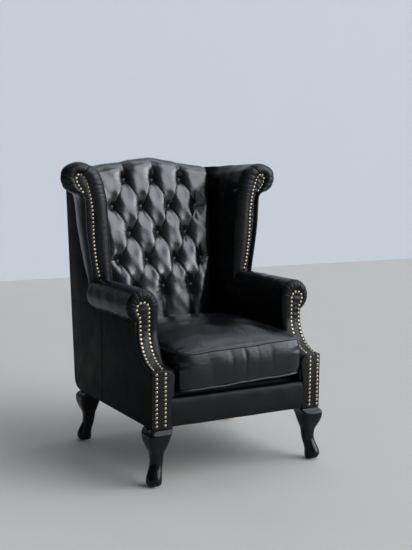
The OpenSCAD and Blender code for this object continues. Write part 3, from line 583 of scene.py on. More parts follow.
def wood(name):
    """Plain sawn hardwood with its grain along the piece's width."""
    if name in bpy.data.materials:
        return bpy.data.materials[name]
    made, tree, shader, place = node_tree(name, 0.6, 0.4)
    turn = tree.nodes.new("ShaderNodeMapping")
    turn.inputs["Scale"].default_value = (0.6, 6, 6)
    tree.links.new(place, turn.inputs["Vector"])
    lines = noise(tree, turn.outputs["Vector"], 30, 5, 1.2)
    share = between(tree, lines, 0.3, 0.7)
    tone = blend_colours(tree, share, (0.46, 0.3, 0.16), (0.62, 0.45, 0.27))
    paint(tree, shader, tone, bump(tree, lines, 0.0003))
    return made


def wall_paint_with_painted_shade(colour):
    """Matt paint on a wall, with painted shade that darkens it towards its left."""
    made, tree, shader, place = node_tree("Wall", 0.9, 0.1)
    split = tree.nodes.new("ShaderNodeSeparateXYZ")
    tree.links.new(place, split.inputs[0])
    # Painted shade: the wall's colour falls to 0.15 of itself from x 0.6 m to x -3 m, towards its
    # left
    share = between(tree, split.outputs["X"], -3.0, 0.6)
    tone = blend_colours(tree, share, [c * 0.15 for c in colour], colour)
    paint(tree, shader, tone)
    return made


def woven(name, colour, scale):
    """Plain woven cloth."""
    if name in bpy.data.materials:
        return bpy.data.materials[name]
    made, tree, shader, place = node_tree(name, 0.9, 0.2)
    threads = []
    for way in ("X", "Y"):
        wave = tree.nodes.new("ShaderNodeTexWave")
        wave.bands_direction = way
        wave.inputs["Scale"].default_value = scale
        tree.links.new(place, wave.inputs["Vector"])
        threads.append(wave.outputs["Fac"])
    weave = tree.nodes.new("ShaderNodeMath")
    weave.operation = "MULTIPLY"
    tree.links.new(threads[0], weave.inputs[0])
    tree.links.new(threads[1], weave.inputs[1])
    tone = blend_colours(tree, weave.outputs[0], colour, [c * 1.6 for c in colour])
    paint(tree, shader, tone, bump(tree, weave.outputs[0], 0.0002))
    return made


# Sizes and colours that a user would change


def length(name, description, default, low, high):
    """Property for a length in metres."""
    return bpy.props.FloatProperty(
        name=name, description=description, default=default, min=low, max=high, unit="LENGTH"
    )


def colour(name, description, default):
    """Property for a colour."""
    return bpy.props.FloatVectorProperty(
        name=name, description=description, default=default, min=0, max=1, size=3, subtype="COLOR"
    )


def strength(name, description, default):
    """Property for the strength of a light."""
    return bpy.props.FloatProperty(name=name, description=description, default=default, min=0, max=10)


class ChairShapes(bpy.types.PropertyGroup):
    """Sizes of the upholstery"""

    tuft: length("Tuft Height", "Height of the back's padding over its buttons", 0.028, 0.01, 0.05)
    pleat: length("Pleat Depth", "Depth of the gathers round the scrolls", 0.0024, 0, 0.006)
    piping: length("Piping Radius", "Radius of the cushion's piping", 0.0042, 0.002, 0.007)
    crown: length("Cushion Crown", "Rise of the cushion over its piping", 0.062, 0.02, 0.065)


class ChairColours(bpy.types.PropertyGroup):
    """Colours of the finishes"""

    leather: colour("Leather", "Colour of the leather", (0.0032, 0.0036, 0.0044))
    lacquer: colour("Lacquer", "Colour of the legs", (0.003, 0.003, 0.0035))
    brass: colour("Nails", "Colour of the nail heads", (0.28, 0.235, 0.17))


class ChairStage(bpy.types.PropertyGroup):
    """Settings of the floor, the wall, the lights and the camera"""

    floor: colour("Floor", "Colour of the floor", (0.5, 0.475, 0.445))
    wall: colour("Wall", "Colour of the wall behind", (0.57, 0.59, 0.62))
    sun: strength("Key Light", "Strength of the key light", 2.7)
    rim: strength("Rim Light", "Strength of the low light from the right", 1.2)
    top: strength("Top Light", "Strength of the soft light from above", 0.9)
    spread: bpy.props.FloatProperty(
        name="Key Spread",
        description="Apparent size of the key light",
        default=math.radians(58),
        min=0,
        max=3,
        subtype="ANGLE",
    )
    lens: bpy.props.FloatProperty(
        name="Lens",
        description="Focal length of the camera",
        default=61.02,
        min=10,
        max=200,
        unit="CAMERA",
    )


def shapes():
    """The sizes in use."""
    return bpy.context.scene.chair_shapes


def colours():
    """The colours in use."""
    return bpy.context.scene.chair_colours


def hide(kind):
    """Leather of one kind in the chair's colour."""
    return leather(kind + " leather", tuple(colours().leather), *LEATHERS[kind])


def button_leather():
    """Tightly drawn leather of the buttons."""
    return leather("Button leather", [c * 3 for c in colours().leather], 0.22, 0.8, 0.0002)


# Tufted back


def row_at(z):
    """Row number of a height, counted down from the top row and held inside the buttoned field."""
    return np.clip((TOP_ROW_Z - z) / PITCH_Z, 0, ROWS - 1)


def tuft_y(z):
    """Depth of the plane through the buttons."""
    return TUFT_Y + (z - TUFT_Z) * TUFT_LEAN


def back_inside_y(z):
    """Depth of the inner face of the outside back."""
    return OUTER_Y + (z - OUTER_Z) * OUTER_LEAN


def tuft_share(x, z):
    """Fullness of the padding, from 0 at a button to 1 in a diamond, with a crease on each fold."""
    row = row_at(z)
    past = (TOP_ROW_Z - z) / PITCH_Z - row
    above, below = np.maximum(-past, 0), np.maximum(past, 0)
    side = rise(np.abs(x) / PITCH_X, 1.5, 0.45)
    held = np.clip(x, -1.5 * PITCH_X, 1.5 * PITCH_X)
    p = held / PITCH_X + row / 2
    q = held / PITCH_X - row / 2
    sp, sq = np.abs(np.sin(np.pi * p)), np.abs(np.sin(np.pi * q))
    off = np.arcsin(np.clip(np.minimum(sp, sq), 0, 1)) / np.pi * PITCH_X
    near = np.cos(np.pi * p) ** 2 * np.cos(np.pi * q) ** 2
    fade = np.exp(-((above / 0.36) ** 2))
    keen = np.exp(-off / 2.4) * (0.6 + 0.4 * fade) * (1 - 0.9 * side)
    wide = np.exp(-off / 9) * fade * (1 - 0.8 * side)
    funnel = 0.52 * near * np.exp(-((above / 0.62) ** 2)) + 0.48 * near**6 * fade
    funnel = funnel * np.exp(-((below / 0.4) ** 2)) * (1 - side) ** 1.5
    pipe = (1 - sp * sq) ** 4 * rise(below, 0, 0.3) * (1 - side)
    return 1 - 0.86 * funnel - 0.09 * keen - 0.07 * wide - 0.28 * pipe


def button_places():
    """x and z of every button."""
    for row in range(ROWS):
        n = 3 + row % 2
        for i in range(n):
            yield (i - (n - 1) / 2) * PITCH_X, TOP_ROW_Z - row * PITCH_Z


def bend(start, leaving, end, arriving, count):
    """Smooth path between two places with given directions, without its first place."""
    t = np.linspace(0, 1, count + 1)[1:, None]
    start, leaving, end, arriving = (np.array(v, float) for v in (start, leaving, end, arriving))
    near, far = 2 * t**3 - 3 * t**2 + 1, 3 * t**2 - 2 * t**3
    return near * start + (t**3 - 2 * t**2 + t) * leaving + far * end + (t**3 - t**2) * arriving


def back_section(x):
    """Path of the untufted padding at a distance from the middle, and its face's count of rows."""
    step = PITCH_Z / FOLD_STEPS
    face = TOP_ROW_Z + np.arange(-round(FACE_ROWS * FOLD_STEPS), 6) * step
    top = PEAK_Z - ARCH_SHARE * abs(x) - PEAK_DROP
    lean = np.array([TUFT_LEAN, 1.0])
    high = np.linspace(face[-1], top - TOP_TURN, 8)[1:]
    ridge = tuft_y(high[-1]) + TOP_TURN
    path = [np.column_stack([tuft_y(face), face]), np.column_stack([tuft_y(high), high])]
    path.append(bend(path[1][-1], lean * 38, (ridge, top), (34, 0), 12))
    path.append(bend((ridge, top), (34, 0), (back_inside_y(top - 16), top - 16), (0, -26), 10))
    rear = np.linspace(top - 20, face[0], 14)
    path.append(np.column_stack([back_inside_y(rear), rear]))
    return np.vstack(path), len(face) + len(high)


def tufted_back():
    """Tufted pad of the back, its padding raised along the normals and rolled back at its sides."""
    step = PITCH_X / 2 / FOLD_STEPS
    count = math.ceil(BACK_HALF / step)
    xs = np.clip(np.arange(-count, count + 1) * step, -BACK_HALF, BACK_HALF)
    sections = [back_section(x) for x in xs]
    n_face = sections[0][1]
    yz = np.array([s[0] for s in sections]).transpose(1, 0, 2)
    grid = np.dstack([np.broadcast_to(xs, yz.shape[:2]), yz])
    x, y, z = np.moveaxis(grid, -1, 0)
    rows = np.arange(len(grid))[:, None]
    on_face = np.clip(1 - (rows - n_face - 16) / 6.0, 0, 1)
    over_top = rise(rows, n_face, 12.0)
    z_for = np.where(rows < n_face, z, z[n_face - 1] + (rows - n_face + 1) * 4)
    slim = 0.35 + 0.65 * np.clip((z_for - SLIM_Z) / (TOP_ROW_Z - SLIM_Z) * 2.2, 0, 1)
    share = tuft_share(x, z_for)
    height = shapes().tuft / MM * slim * (1 - 0.5 * over_top) * share
    height = height * (1 - 0.1 * ripple(x, 0, z_for, 150, 4)) + 1.2 * ripple(x, y, z, 70, 1) * share
    for bx, bz in button_places():
        dx, dz = x - bx, z_for - bz
        r, a = np.hypot(dx, dz), np.arctan2(dz, dx)
        gather = 0.5 + 0.5 * np.cos(11 * a + bx + 2 * bz + 0.8 * np.sin(3 * a + bz))
        height = height - 1.6 * np.exp(-((r / 30) ** 2)) * (r / (r + 8)) * gather**3
    # Sides turn back in an arc, wide and deep towards the seat
    round_r = np.interp(z, *SIDE_ROUND)
    reach = np.interp(z, *SIDE_REACH)
    flat = np.interp(z, *SIDE_HALF) - round_r
    past = np.abs(x) - flat
    turn = np.clip(past / (BACK_HALF - flat) * math.pi / 2, 0, math.pi / 2)
    height = height * on_face * np.cos(turn) ** 1.1
    grid = grid + outward(grid, (20, len(xs) // 2), 1, -1) * height[..., None]
    x, y, z = np.moveaxis(grid, -1, 0)
    x[:] = np.where(past > 0, np.sign(x) * (flat + round_r * np.sin(turn)), x)
    y += reach * (1 - np.cos(turn)) * on_face
    y[:] = np.minimum(y, back_inside_y(z))
    back = finish_piece(closed(grid), "tufted_back", hide("Pad"), sharp=60)
    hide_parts("back_pad")


# Wings


def pleats(phase, fade):
    """Height in millimetres of a run of gathers: narrow grooves with full folds between them."""
    f = np.abs(np.mod(phase, 1) - 0.5) * 2
    depth = shapes().pleat / MM
    uneven = 0.75 + 0.65 * np.sin(np.round(phase) * 2.4)
    return fade * (0.2 * depth * (1 - f**2) - depth * uneven * f**14)


def turned_edge(w, crest, fall, end):
    """Depth at a share of the way over a front's padding: from its nails over its crest and back."""
    if w < CREST:
        return crest + fall * ((CREST - w) / CREST) ** 2
    return end - (end - crest) * math.sqrt(max(0, 1 - ((w - CREST) / (1 - CREST)) ** 2))


def scroll_height(number, nails, scroll, count, fade_ends, behind, turned):
    """Height of the gathers round a scroll, on the rows that turn in from the nails and behind."""
    along = length_along(nails)
    a, b = np.interp(scroll, number, along)
    phase = (along - a) / (b - a) * count
    within = rise(number, fade_ends[0], 1.0) * rise(fade_ends[1], number, 1.0)
    share = np.ones((len(behind), 1))
    share[:turned, 0] = np.linspace(0, 1, turned)
    behind[:turned] = 0
    return pleats(phase[None, :], within * (1 - 0.25 * share) * (1 - behind) ** 1.5)


def wing(side, word):
    """Padded wing with its roll and gathered scroll, from the nailed front to the back."""
    rows = smooth_rows(WING, 420, lambda row: 1 + 1.6 * ((row > 6) & (row < 22)))
    ox, oz, nx, nz, rx, rz, reach, power = rows[:, :8].T
    number = rows[:, 8]
    amp = rise(np.hypot(ox - nx, oz - nz), 0, 26)
    bands = []
    for w in np.linspace(0, 1, 15):
        y = turned_edge(w, WING_CREST_Y, WING_FACE_Y - WING_CREST_Y, WING_FACE_Y + WING_TURN)
        y = WING_FACE_Y + amp * (y - WING_FACE_Y)
        bands.append(np.column_stack([nx + (ox - nx) * w, y, nz + (oz - nz) * w]))
    start = WING_FACE_Y + amp * WING_TURN
    rear = back_inside_y(rz)
    for t in np.linspace(0, 1, 64)[1:] ** 1.25:
        y = start + (rear - start) * t
        way = rise(y, start, reach - start) ** power
        bands.append(np.column_stack([ox + (rx - ox) * way, y, oz + (rz - oz) * way]))
    grid = np.array(bands)
    x, y, z = np.moveaxis(grid, -1, 0)
    n = outward(grid, (30, np.argmin(np.abs(number - 12.5))), 2, 1, wrap=True)
    behind = rise(y, start, 34)
    height = scroll_height(number, rows[:, 2:4], WING_SCROLL, WING_GATHERS, (6.0, 22.0), behind, 15)
    waves = ripple(x, y, z, 90, 3) * 1.6
    height = height + waves * rise(y, 500, 60) * rise(755, y, 40)
    fold = np.exp(-(((number - 7.1) / 0.28) ** 2)) * rise(y, 480, 30)
    height = height - 5 * fold * rise(545, y, 40)
    outer = rise(number, 24.5, 1.5) * rise(32.5, number, 0.5)
    height = height - 2.2 * outer * np.exp(-(((y - reach) / 3.5) ** 2))
    grid = grid + n * height[..., None]
    grid[..., 1] = np.minimum(grid[..., 1], back_inside_y(grid[..., 2]))
    front = grid[0].copy()
    front[:, 1] = WING_FACE_Y + 7
    bm = closed(hand(np.concatenate([front[None], grid]), side))
    made = finish_piece(bm, "wing_" + word, hide("Roll"), sharp=70)
    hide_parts("wing_pad_" + word)


def nailed_strip(first, second, bulge, place, back, side, name):
    """A sheet of leather between two lines of x, z, drawn down along its nailed edges."""
    count = 240
    a = smooth_rows(first, count)[:, :2]
    b = smooth_rows(second, count)[:, :2]
    w = np.linspace(0, 1, 13)
    flat = np.array([a + (b - a) * share for share in w])
    w = w[:, None]
    span = np.linalg.norm(b - a, axis=1)[None, :]
    s = length_along((a + b) / 2)[None, :]
    lift = bulge * rise(span, 0, 24) * (4 * w * (1 - w)) ** 0.6
    lift = lift + 0.8 * np.sin(s / 3.9 + 3 * w) * np.sin(s / 17) * (4 * w * (1 - w))
    bm = sheet(hand(place(flat[..., 0], flat[..., 1], lift), side))
    close_behind(bm, back)
    return finish_piece(bm, name, hide("Roll"), sharp=60)


def wing_strip(side, word):
    """Strip of leather between the nails on the wing's front."""
    first = [r[2:4] for r in WING[1:14]]
    second = [r[2:4] for r in WING[32:12:-1]]

    def place(x, z, lift):
        return np.stack([x, WING_FACE_Y + 1 - lift, z], axis=-1)

    made = nailed_strip(first, second, 2.2, place, (0, 5, 0), side, "wing_strip_" + word)
    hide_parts("wing_facing_" + word)


# Arms


def sweep_place(x, z, d):
    """Places of the arm's front at depths d behind its sweep, for heights z of the front view."""
    r = SWEEP_R + d
    turn = np.arcsin(rise(SWEEP_Z, z, SWEEP_R))
    y = r * np.cos(turn)
    up = np.where(z >= SWEEP_Z, z, SWEEP_Z - r * np.sin(turn))
    low = z < SWEEP_Z - SWEEP_R
    return np.stack([x, np.where(low, LOW_FRONT_Y + d * 0.3, y), np.where(low, z, up)], axis=-1)


def arm(side, word):
    """Padded arm with its roll and gathered scroll, from the nailed front to the wing."""
    rows = smooth_rows(ARM, 340, lambda row: 1 + 1.6 * ((row > 7) & (row < 22)))
    ox, oz, nx, nz = rows[:, :4].T
    number = rows[:, 4]
    bands = []
    for w in np.linspace(0, 1, 13):
        d = turned_edge(w, 0, ARM_FALL, ARM_TURN)
        bands.append(sweep_place(nx + (ox - nx) * w, nz + (oz - nz) * w, d))
    edge_x, edge_y, edge_z = bands[-1].T
    inner = rise(7.5, number, 1.5) + rise(number, 29, 1.5)
    end = ROLL_REAR_Y + inner * INNER_RUN
    drawn = rise(number, 20.5, 1.0) * rise(28, number, 1.0) * OUTER_STEP
    for t in np.linspace(0, 1, 90)[1:] ** 1.2:
        y = edge_y + (end - edge_y) * t
        x = edge_x - drawn * rise(y, edge_y, 3) - INNER_LEAN * inner * rise(y, 300, 300) ** 1.5
        bands.append(np.column_stack([x, y, edge_z]))
    grid = np.array(bands)
    x, y, z = np.moveaxis(grid, -1, 0)
    n = outward(grid, (40, np.argmin(np.abs(number - 12.5))), 2, 1, wrap=True)
    behind = rise(y, edge_y, 34)
    height = scroll_height(number, rows[:, 2:4], ARM_SCROLL, ARM_GATHERS, (6.6, 21.6), behind, 13)
    waves = ripple(x, y, z, 110, 5) * 0.9
    height = height + waves * rise(y - edge_y, 8, 60) * rise(21, number, 1.5)
    grid = grid + n * height[..., None]
    last = grid[-1]
    closing = []
    for a in np.radians([15, 30, 45, 60, 75, 90]):
        shrink = 1 - 0.3 * (1 - math.cos(a))
        ring = ROLL_END + (last - ROLL_END) * shrink
        ring[:, 1] = last[:, 1] + END_BULGE * math.sin(a) * (1 - inner)
        closing.append(ring)
    for shrink in (0.5, 0.1):
        closing.append(ROLL_END + (closing[-1] - ROLL_END) * shrink)
    front = grid[0].copy()
    front[:, 1] += 5
    bm = sheet(hand(np.concatenate([front[None], grid, np.array(closing)]), side))
    fill_flat(bm, [e for e in bm.edges if e.is_boundary and e.verts[0].co.y < FRONT_Y + 0.3])
    fill_rims(bm)
    made = finish_piece(bm, "arm_" + word, hide("Arm"), sharp=70)
    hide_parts("arm_pad_" + word)


def arm_strip(side, word):
    """Strip of leather between the nails down the arm's front."""
    first = [r[2:4] for r in ARM[2:13]]
    second = [r[2:4] for r in ARM[27:11:-1]]

    def place(x, z, lift):
        return sweep_place(x, np.maximum(z, SWEEP_Z - SWEEP_R + 0.01), 3 - lift)

    made = nailed_strip(first, second, 2.0, place, (0, 5, -2), side, "arm_strip_" + word)
    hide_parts("arm_facing_" + word)


# Seat cushion


def cushion_plan(count):
    """Plan of the cushion's seams, a rounded square, in even steps."""
    a = np.linspace(0, 2 * math.pi, 4001)
    y0, y1 = CUSHION_FRONT, CUSHION_REAR
    plan = np.column_stack([
        CUSHION_HALF * squared(np.cos(a), 2 / 13),
        (y0 + y1) / 2 + (y1 - y0) / 2 * squared(np.sin(a), 2 / 13),
    ])
    s = length_along(plan)
    even = np.linspace(0, s[-1], count + 1)
    return np.column_stack([np.interp(even, s, plan[:, 0]), np.interp(even, s, plan[:, 1])])


def away_from_middle(plan):
    """Unit directions from the cushion's middle to places of its plan."""
    out = plan - CUSHION_MIDDLE
    return out / np.linalg.norm(out, axis=1, keepdims=True)


def cushion_tilt(points):
    """Lets the cushion sink at the sitter's right, and lie over to the left before the arms."""
    out = points.copy()
    x, y = points[..., 0], points[..., 1]
    fore = rise(130, y, 110)
    out[..., 2] += CUSHION_TILT * x / 247 * (1 - 0.5 * rise(y, 0, 500))
    out[..., 2] = np.maximum(out[..., 2], CUSHION_LOW_Z)
    held = np.clip(x, -CUSHION_REACH - 3 * fore, CUSHION_REACH + 4 * fore)
    out[..., 0] = held + 5 * fore**2 * (3 - 2 * fore)
    return out


def cushion_form():
    """Closed form of the cushion as a grid."""
    plan = cushion_plan(300)
    centre = CUSHION_MIDDLE
    crown = shapes().crown / MM
    rings = []
    for f in np.linspace(0.0, 1, 30):
        q = 1 - (1 - f) ** 1.6
        flat = centre + (plan - centre) * q
        low = LOW_SEAM - UNDER_BULGE * (1 - np.full(len(plan), q) ** 6)
        rings.append(np.column_stack([flat, low]))
    away = away_from_middle(plan)
    for f in np.linspace(0, 1, 26)[1:-1]:
        out = BOXING_BULGE * math.sin(math.pi * f) ** 0.7
        z = np.full(len(plan), LOW_SEAM + (HIGH_SEAM - LOW_SEAM) * f)
        rings.append(np.column_stack([plan + away * out, z]))
    for f in np.linspace(1, 0, 70):
        q = 1 - (1 - f) ** 1.6
        flat = centre + (plan - centre) * q
        u = np.abs(flat[:, 0]) / CROWN_HALF_X
        v = np.abs(flat[:, 1] - centre[1]) / CROWN_HALF_Y
        lift = ((1 - np.minimum(u, 1) ** 2.4) * (1 - np.minimum(v, 1) ** 2.4)) ** 0.62
        rings.append(np.column_stack([flat, HIGH_SEAM + crown * lift]))
    return np.array(rings)


def grooves(phase, width):
    """Narrow grooves from 0 to 1, one for each turn of pi."""
    return np.exp(-((np.sin(phase) / width) ** 2))


def cushion_creases(places):
    """Gathers that run in from the piping, and leaning folds on the boxing."""
    x, y, z = places.T
    top = rise(z - HIGH_SEAM, 4, 12)
    in_y = rise(y + 12, 0, 200)
    in_x = rise(246, np.abs(x), 150)
    spread = x * (1 - 0.35 * in_y)
    fans = grooves(spread / 19 + 1.1 * np.sin(x / 37) + y / 90, 0.5)
    fans = fans * (0.5 + 0.5 * np.sin(x / 29 + 0.6))
    height = -top * 2.1 * fans * np.exp(-((in_y * 2.4) ** 2)) * (0.55 + 0.45 * np.abs(x) / 240)
    sides = grooves(y / 23 + 1.2 * np.sin(y / 37), 0.5)
    height = height - top * 1.6 * sides * np.exp(-((in_x * 2.4) ** 2))
    v = rise(z, LOW_SEAM, HIGH_SEAM - LOW_SEAM)
    along = x + y
    lean = along / 21 + 0.9 * np.sin(along / 53) + 1.3 * v + 0.4 * np.sin(5 * v)
    folds = grooves(lean, 0.45) * (0.35 + 0.65 * np.sin(along / 26 + 2) ** 2)
    folds = folds * np.sin(math.pi * v) ** 0.5
    height = height - 2.2 * folds * (1 - 0.5 * np.abs(v - 0.5))
    corner = np.exp(-(((np.abs(x) - 244) / 30) ** 2) - ((y + 9) / 30) ** 2)
    height = height + 1.6 * corner * np.sin(z / 6 + np.sin(z / 13)) * np.sin(math.pi * v)
    return height + 1.8 * ripple(x, y, z, 140, 7) * (0.5 + 0.5 * top)


# Cloth settings of the filled cushion
CLOTH = {
    "quality": 4,
    "mass": 0.25,
    "tension_stiffness": 12,
    "compression_stiffness": 12,
    "bending_stiffness": 3,
    "use_pressure": True,
    "uniform_pressure_force": 4,
    "vertex_group_mass": "seams",
}


def read(items, what="co"):
    """Places or normals of a mesh's items, one to a row."""
    out = np.empty(len(items) * 3)
    items.foreach_get(what, out)
    return out.reshape(-1, 3)


def relax(bm):
    """Smooths a bmesh once."""
    axes = {"use_axis_x": True, "use_axis_y": True, "use_axis_z": True}
    bmesh.ops.smooth_vert(bm, verts=bm.verts, factor=0.5, **axes)


def inflate(obj, held, cap):
    """Places of a closed piece filled as cloth, its seams held, each moved by a cap at most."""
    remesh = obj.modifiers.new("remesh", "REMESH")
    remesh.mode = "VOXEL"
    remesh.voxel_size = CELL
    mesh = bpy.data.meshes.new_from_object(obj.evaluated_get(bpy.context.evaluated_depsgraph_get()))
    obj.modifiers.clear()
    obj.data = mesh
    start = read(mesh.vertices)
    pin = obj.vertex_groups.new(name="seams")
    for i, share in enumerate(held(start)):
        if share > 0.02:
            pin.add([i], float(share), "REPLACE")
    cloth = obj.modifiers.new("cloth", "CLOTH")
    for name, value in CLOTH.items():
        setattr(cloth.settings, name, value)
    cloth.settings.effector_weights.gravity = 0
    cloth.collision_settings.use_collision = False
    cloth.point_cache.frame_end = FILL_STEPS
    for step in range(1, FILL_STEPS + 1):
        bpy.context.scene.frame_set(step)
    filled = obj.evaluated_get(bpy.context.evaluated_depsgraph_get())
    step = read(filled.data.vertices) - start
    far = np.linalg.norm(step, axis=1, keepdims=True)
    obj.modifiers.clear()
    bpy.context.scene.frame_set(1)
    return start + step * np.minimum(1, cap / np.maximum(far, 1e-9))


def seat_cushion():
    """Cushion filled as cloth between its seams, then creased, tilted and smoothed."""
    bm = bmesh.new()
    add_grid(bm, cushion_form())
    cover = hide("Cushion")
    cushion = finish_piece(bm, "cushion", cover, body="cushion", merge=4e-4)
    mesh = cushion.data

    def held(places):
        z = places[:, 2] / MM
        off = np.minimum(np.abs(z - LOW_SEAM), np.abs(z - HIGH_SEAM))
        seam = np.exp(-((off / SEAM_HOLD) ** 2))
        return np.clip(seam + (z < LOW_SEAM - SEAM_HOLD), 0, 1)

    places = inflate(cushion, held, FURTHEST)
    mesh = cushion.data
    mesh.vertices.foreach_set("co", places.ravel())
    bm = bmesh.new()
    bm.from_mesh(mesh)
    for _ in range(3):
        relax(bm)
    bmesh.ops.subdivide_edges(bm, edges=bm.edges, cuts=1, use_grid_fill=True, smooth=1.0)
    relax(bm)
    bm.to_mesh(mesh)
    bm.free()
    if not mesh.materials:
        mesh.materials.append(cover)
    mesh.shade_smooth()
    places, away = read(mesh.vertices), read(mesh.vertex_normals, "vector")
    places[:, 1] -= FRONT_Y
    places = places / MM
    places = cushion_tilt(places + away * cushion_creases(places)[:, None])
    mesh.vertices.foreach_set("co", metres(places).ravel())
    mesh.update()
    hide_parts("seat_cushion")


def cushion_piping():
    """Piping round both seams of the cushion, with a slight sway."""
    plan = cushion_plan(420)
    r = shapes().piping / MM
    a = np.linspace(0, 2 * math.pi, 13)
    away = away_from_middle(plan)
    bm = bmesh.new()
    s = length_along(plan)
    for z in (LOW_SEAM, HIGH_SEAM):
        sway = 1.0 * np.sin(s / 38 + z) + 0.6 * np.sin(s / 17)
        sway = sway * np.minimum(1, np.minimum(s, s[-1] - s) / 60)
        rings = [[*(plan + away * (r * math.cos(t))).T, z + sway + r * math.sin(t)] for t in a]
        add_grid(bm, cushion_tilt(np.array(rings).transpose(0, 2, 1)))
    finish_piece(bm, "cushion_piping", hide("Cushion"), body="cushion")


# Front border


def border():
    """Softly padded border under the seat's front."""
    low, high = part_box("front_border")
    y0, y1 = (low.y - FRONT_Y) / MM, (high.y - FRONT_Y) / MM
    z0, z1 = low.z / MM, high.z / MM
    a = np.linspace(0, 2 * math.pi, 97)
    y = (y0 + y1) / 2 + (y1 - y0) / 2 * squared(np.cos(a), 0.36)
    z = (z0 + z1) / 2 + (z1 - z0) / 2 * squared(np.sin(a), 0.3)
    x = np.linspace(low.x, high.x, 140)[:, None] / MM
    grid = np.stack(np.broadcast_arrays(x, y[None, :], z[None, :]), axis=-1).copy()
    front = rise(y1, grid[..., 1], y1 - y0)
    full = 1 - ((grid[..., 2] - (z0 + z1) / 2) / (z1 - z0) * 2) ** 2
    grid[..., 1] -= front**3 * (2.5 * full + 0.8 * ripple(grid[..., 0], 0, grid[..., 2], 120, 6))
    made = finish_piece(closed(grid), "border", hide("Border"), sharp=60)
    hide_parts("front_border")


# Legs


def leg(side, word, y, fore, place_name):
    """Cabriole leg, its table read at even steps of height."""
    table = smooth_rows(LEG, 90)
    h = np.linspace(0, 1, 91)
    share = np.column_stack([np.interp(h, table[:, 0], c) for c in table.T])
    low, high = (corner.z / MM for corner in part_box("leg_front_left"))
    top_w, ankle_w, foot_w = LEG_WIDTHS
    a = np.linspace(0, 2 * math.pi, 65)
    rings = []
    for s in share:
        half = (s[2] * top_w + s[3] * ankle_w + s[4] * foot_w) / 2
        rings.append(np.column_stack([
            LEG_X + LEG_SHIFT_X * s[1] + half * squared(np.cos(a), 2 / s[5]),
            y + fore * LEG_SHIFT_Y * s[1] + half * squared(np.sin(a), 2 / s[5]),
            np.full(len(a), low + s[0] * (high - low)),
        ]))
    bm = closed(hand(np.array(rings), side))
    hue = tuple(colours().lacquer)
    lacquer = simple("Leg lacquer", hue, 0.08, 0.1, depth=0.00003, scale=40, coat=0.22)
    made = finish_piece(bm, f"leg_{place_name}_{word}_smooth", lacquer, sharp=50)
    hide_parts(f"leg_{place_name}_{word}")


# Operators


class PieceOperator(bpy.types.Operator):
    """Shared part of the operators that build pieces"""

    bl_options = {"REGISTER", "UNDO"}


class CHAIR_OT_stage(bpy.types.Operator):
    """Sets the camera, the lights and the floor"""

    bl_idname = "chair.stage"
    bl_label = "Stage"

    def execute(self, context):
        look = context.scene.chair_stage
        scene = context.scene
        camera = bpy.data.cameras.new("camera")
        camera.lens = look.lens
        camera.sensor_width = 36
        camera.clip_end = 200
        holder = link("camera", camera)
        a, e, roll = map(math.radians, CAMERA_ANGLES)
        back = Vector((math.sin(a) * math.cos(e), -math.cos(a) * math.cos(e), math.sin(e)))
        right = Vector((math.cos(a), math.sin(a), 0))
        up = back.cross(right)
        turned = right * math.cos(roll) + up * math.sin(roll)
        raised = up * math.cos(roll) - right * math.sin(roll)
        pose = Matrix((turned, raised, back)).transposed().to_4x4()
        pose.translation = Vector(CAMERA_PLACE)
        holder.matrix_world = pose
        scene.camera = holder

        for name, energy, angle, towards in (
            ("key", look.sun, look.spread, (0.65, -0.54, 0.53)),
            ("rim", look.rim, math.radians(38), (0.8, -0.6, 0.07)),
            ("top", look.top, math.radians(50), (0.5, 0.3, 0.81)),
        ):
            lamp = bpy.data.lights.new(name, "SUN")
            lamp.energy = energy
            lamp.angle = angle
            lamp.color = LAMP_TINT
            holder = link(name, lamp)
            holder.rotation_euler = Vector(towards).to_track_quat("Z", "Y").to_euler()

        world = bpy.data.worlds.new("soft room")
        world.use_nodes = True
        tree = world.node_tree
        place = tree.nodes.new("ShaderNodeTexCoord").outputs["Generated"]
        side = tree.nodes.new("ShaderNodeVectorMath")
        side.operation = "DOT_PRODUCT"
        side.inputs[1].default_value = (0.75, -0.15, 0.6)
        tree.links.new(place, side.inputs[0])
        share = between(tree, side.outputs["Value"], 0.0, 0.75)
        tone = blend_colours(tree, share, (0.06, 0.063, 0.068), (0.6, 0.66, 0.75))
        tree.links.new(tone, tree.nodes["Background"].inputs["Color"])
        scene.world = world

        bm = bmesh.new()
        bmesh.ops.create_circle(bm, cap_ends=True, segments=96, radius=FLOOR_RADIUS)
        paler = [c * 1.03 for c in look.floor]
        finish = simple("Floor", tuple(look.floor), 0.7, 0.3, scale=3, second=paler, depth=0)
        floor = from_bmesh(bm, "floor", finish)
        bm = bmesh.new()
        bmesh.ops.create_grid(bm, x_segments=1, y_segments=1, size=WALL_SIZE)
        bmesh.ops.rotate(bm, verts=bm.verts, matrix=Matrix.Rotation(math.pi / 2, 3, "X"))
        bmesh.ops.translate(bm, verts=bm.verts, vec=(0, WALL_Y, 0))
        wall = from_bmesh(bm, "wall", wall_paint_with_painted_shade(tuple(look.wall)))
        scene.view_settings.view_transform = "Standard"
        return {"FINISHED"}


class CHAIR_OT_back(PieceOperator):
    """Builds the tufted back pad and finishes its buttons"""

    bl_idname = "chair.back"
    bl_label = "Tufted Back"

    def execute(self, context):
        tufted_back()
        dress(["back_buttons"], button_leather())
        return {"FINISHED"}


class CHAIR_OT_wings(PieceOperator):
    """Builds both wings with their nailed strips"""

    bl_idname = "chair.wings"
    bl_label = "Wings"

    def execute(self, context):
        for side, word in SIDES:
            wing(side, word)
            wing_strip(side, word)
        return {"FINISHED"}


class CHAIR_OT_arms(PieceOperator):
    """Builds both arms with their nailed strips"""

    bl_idname = "chair.arms"
    bl_label = "Arms"

    def execute(self, context):
        for side, word in SIDES:
            arm(side, word)
            arm_strip(side, word)
        return {"FINISHED"}


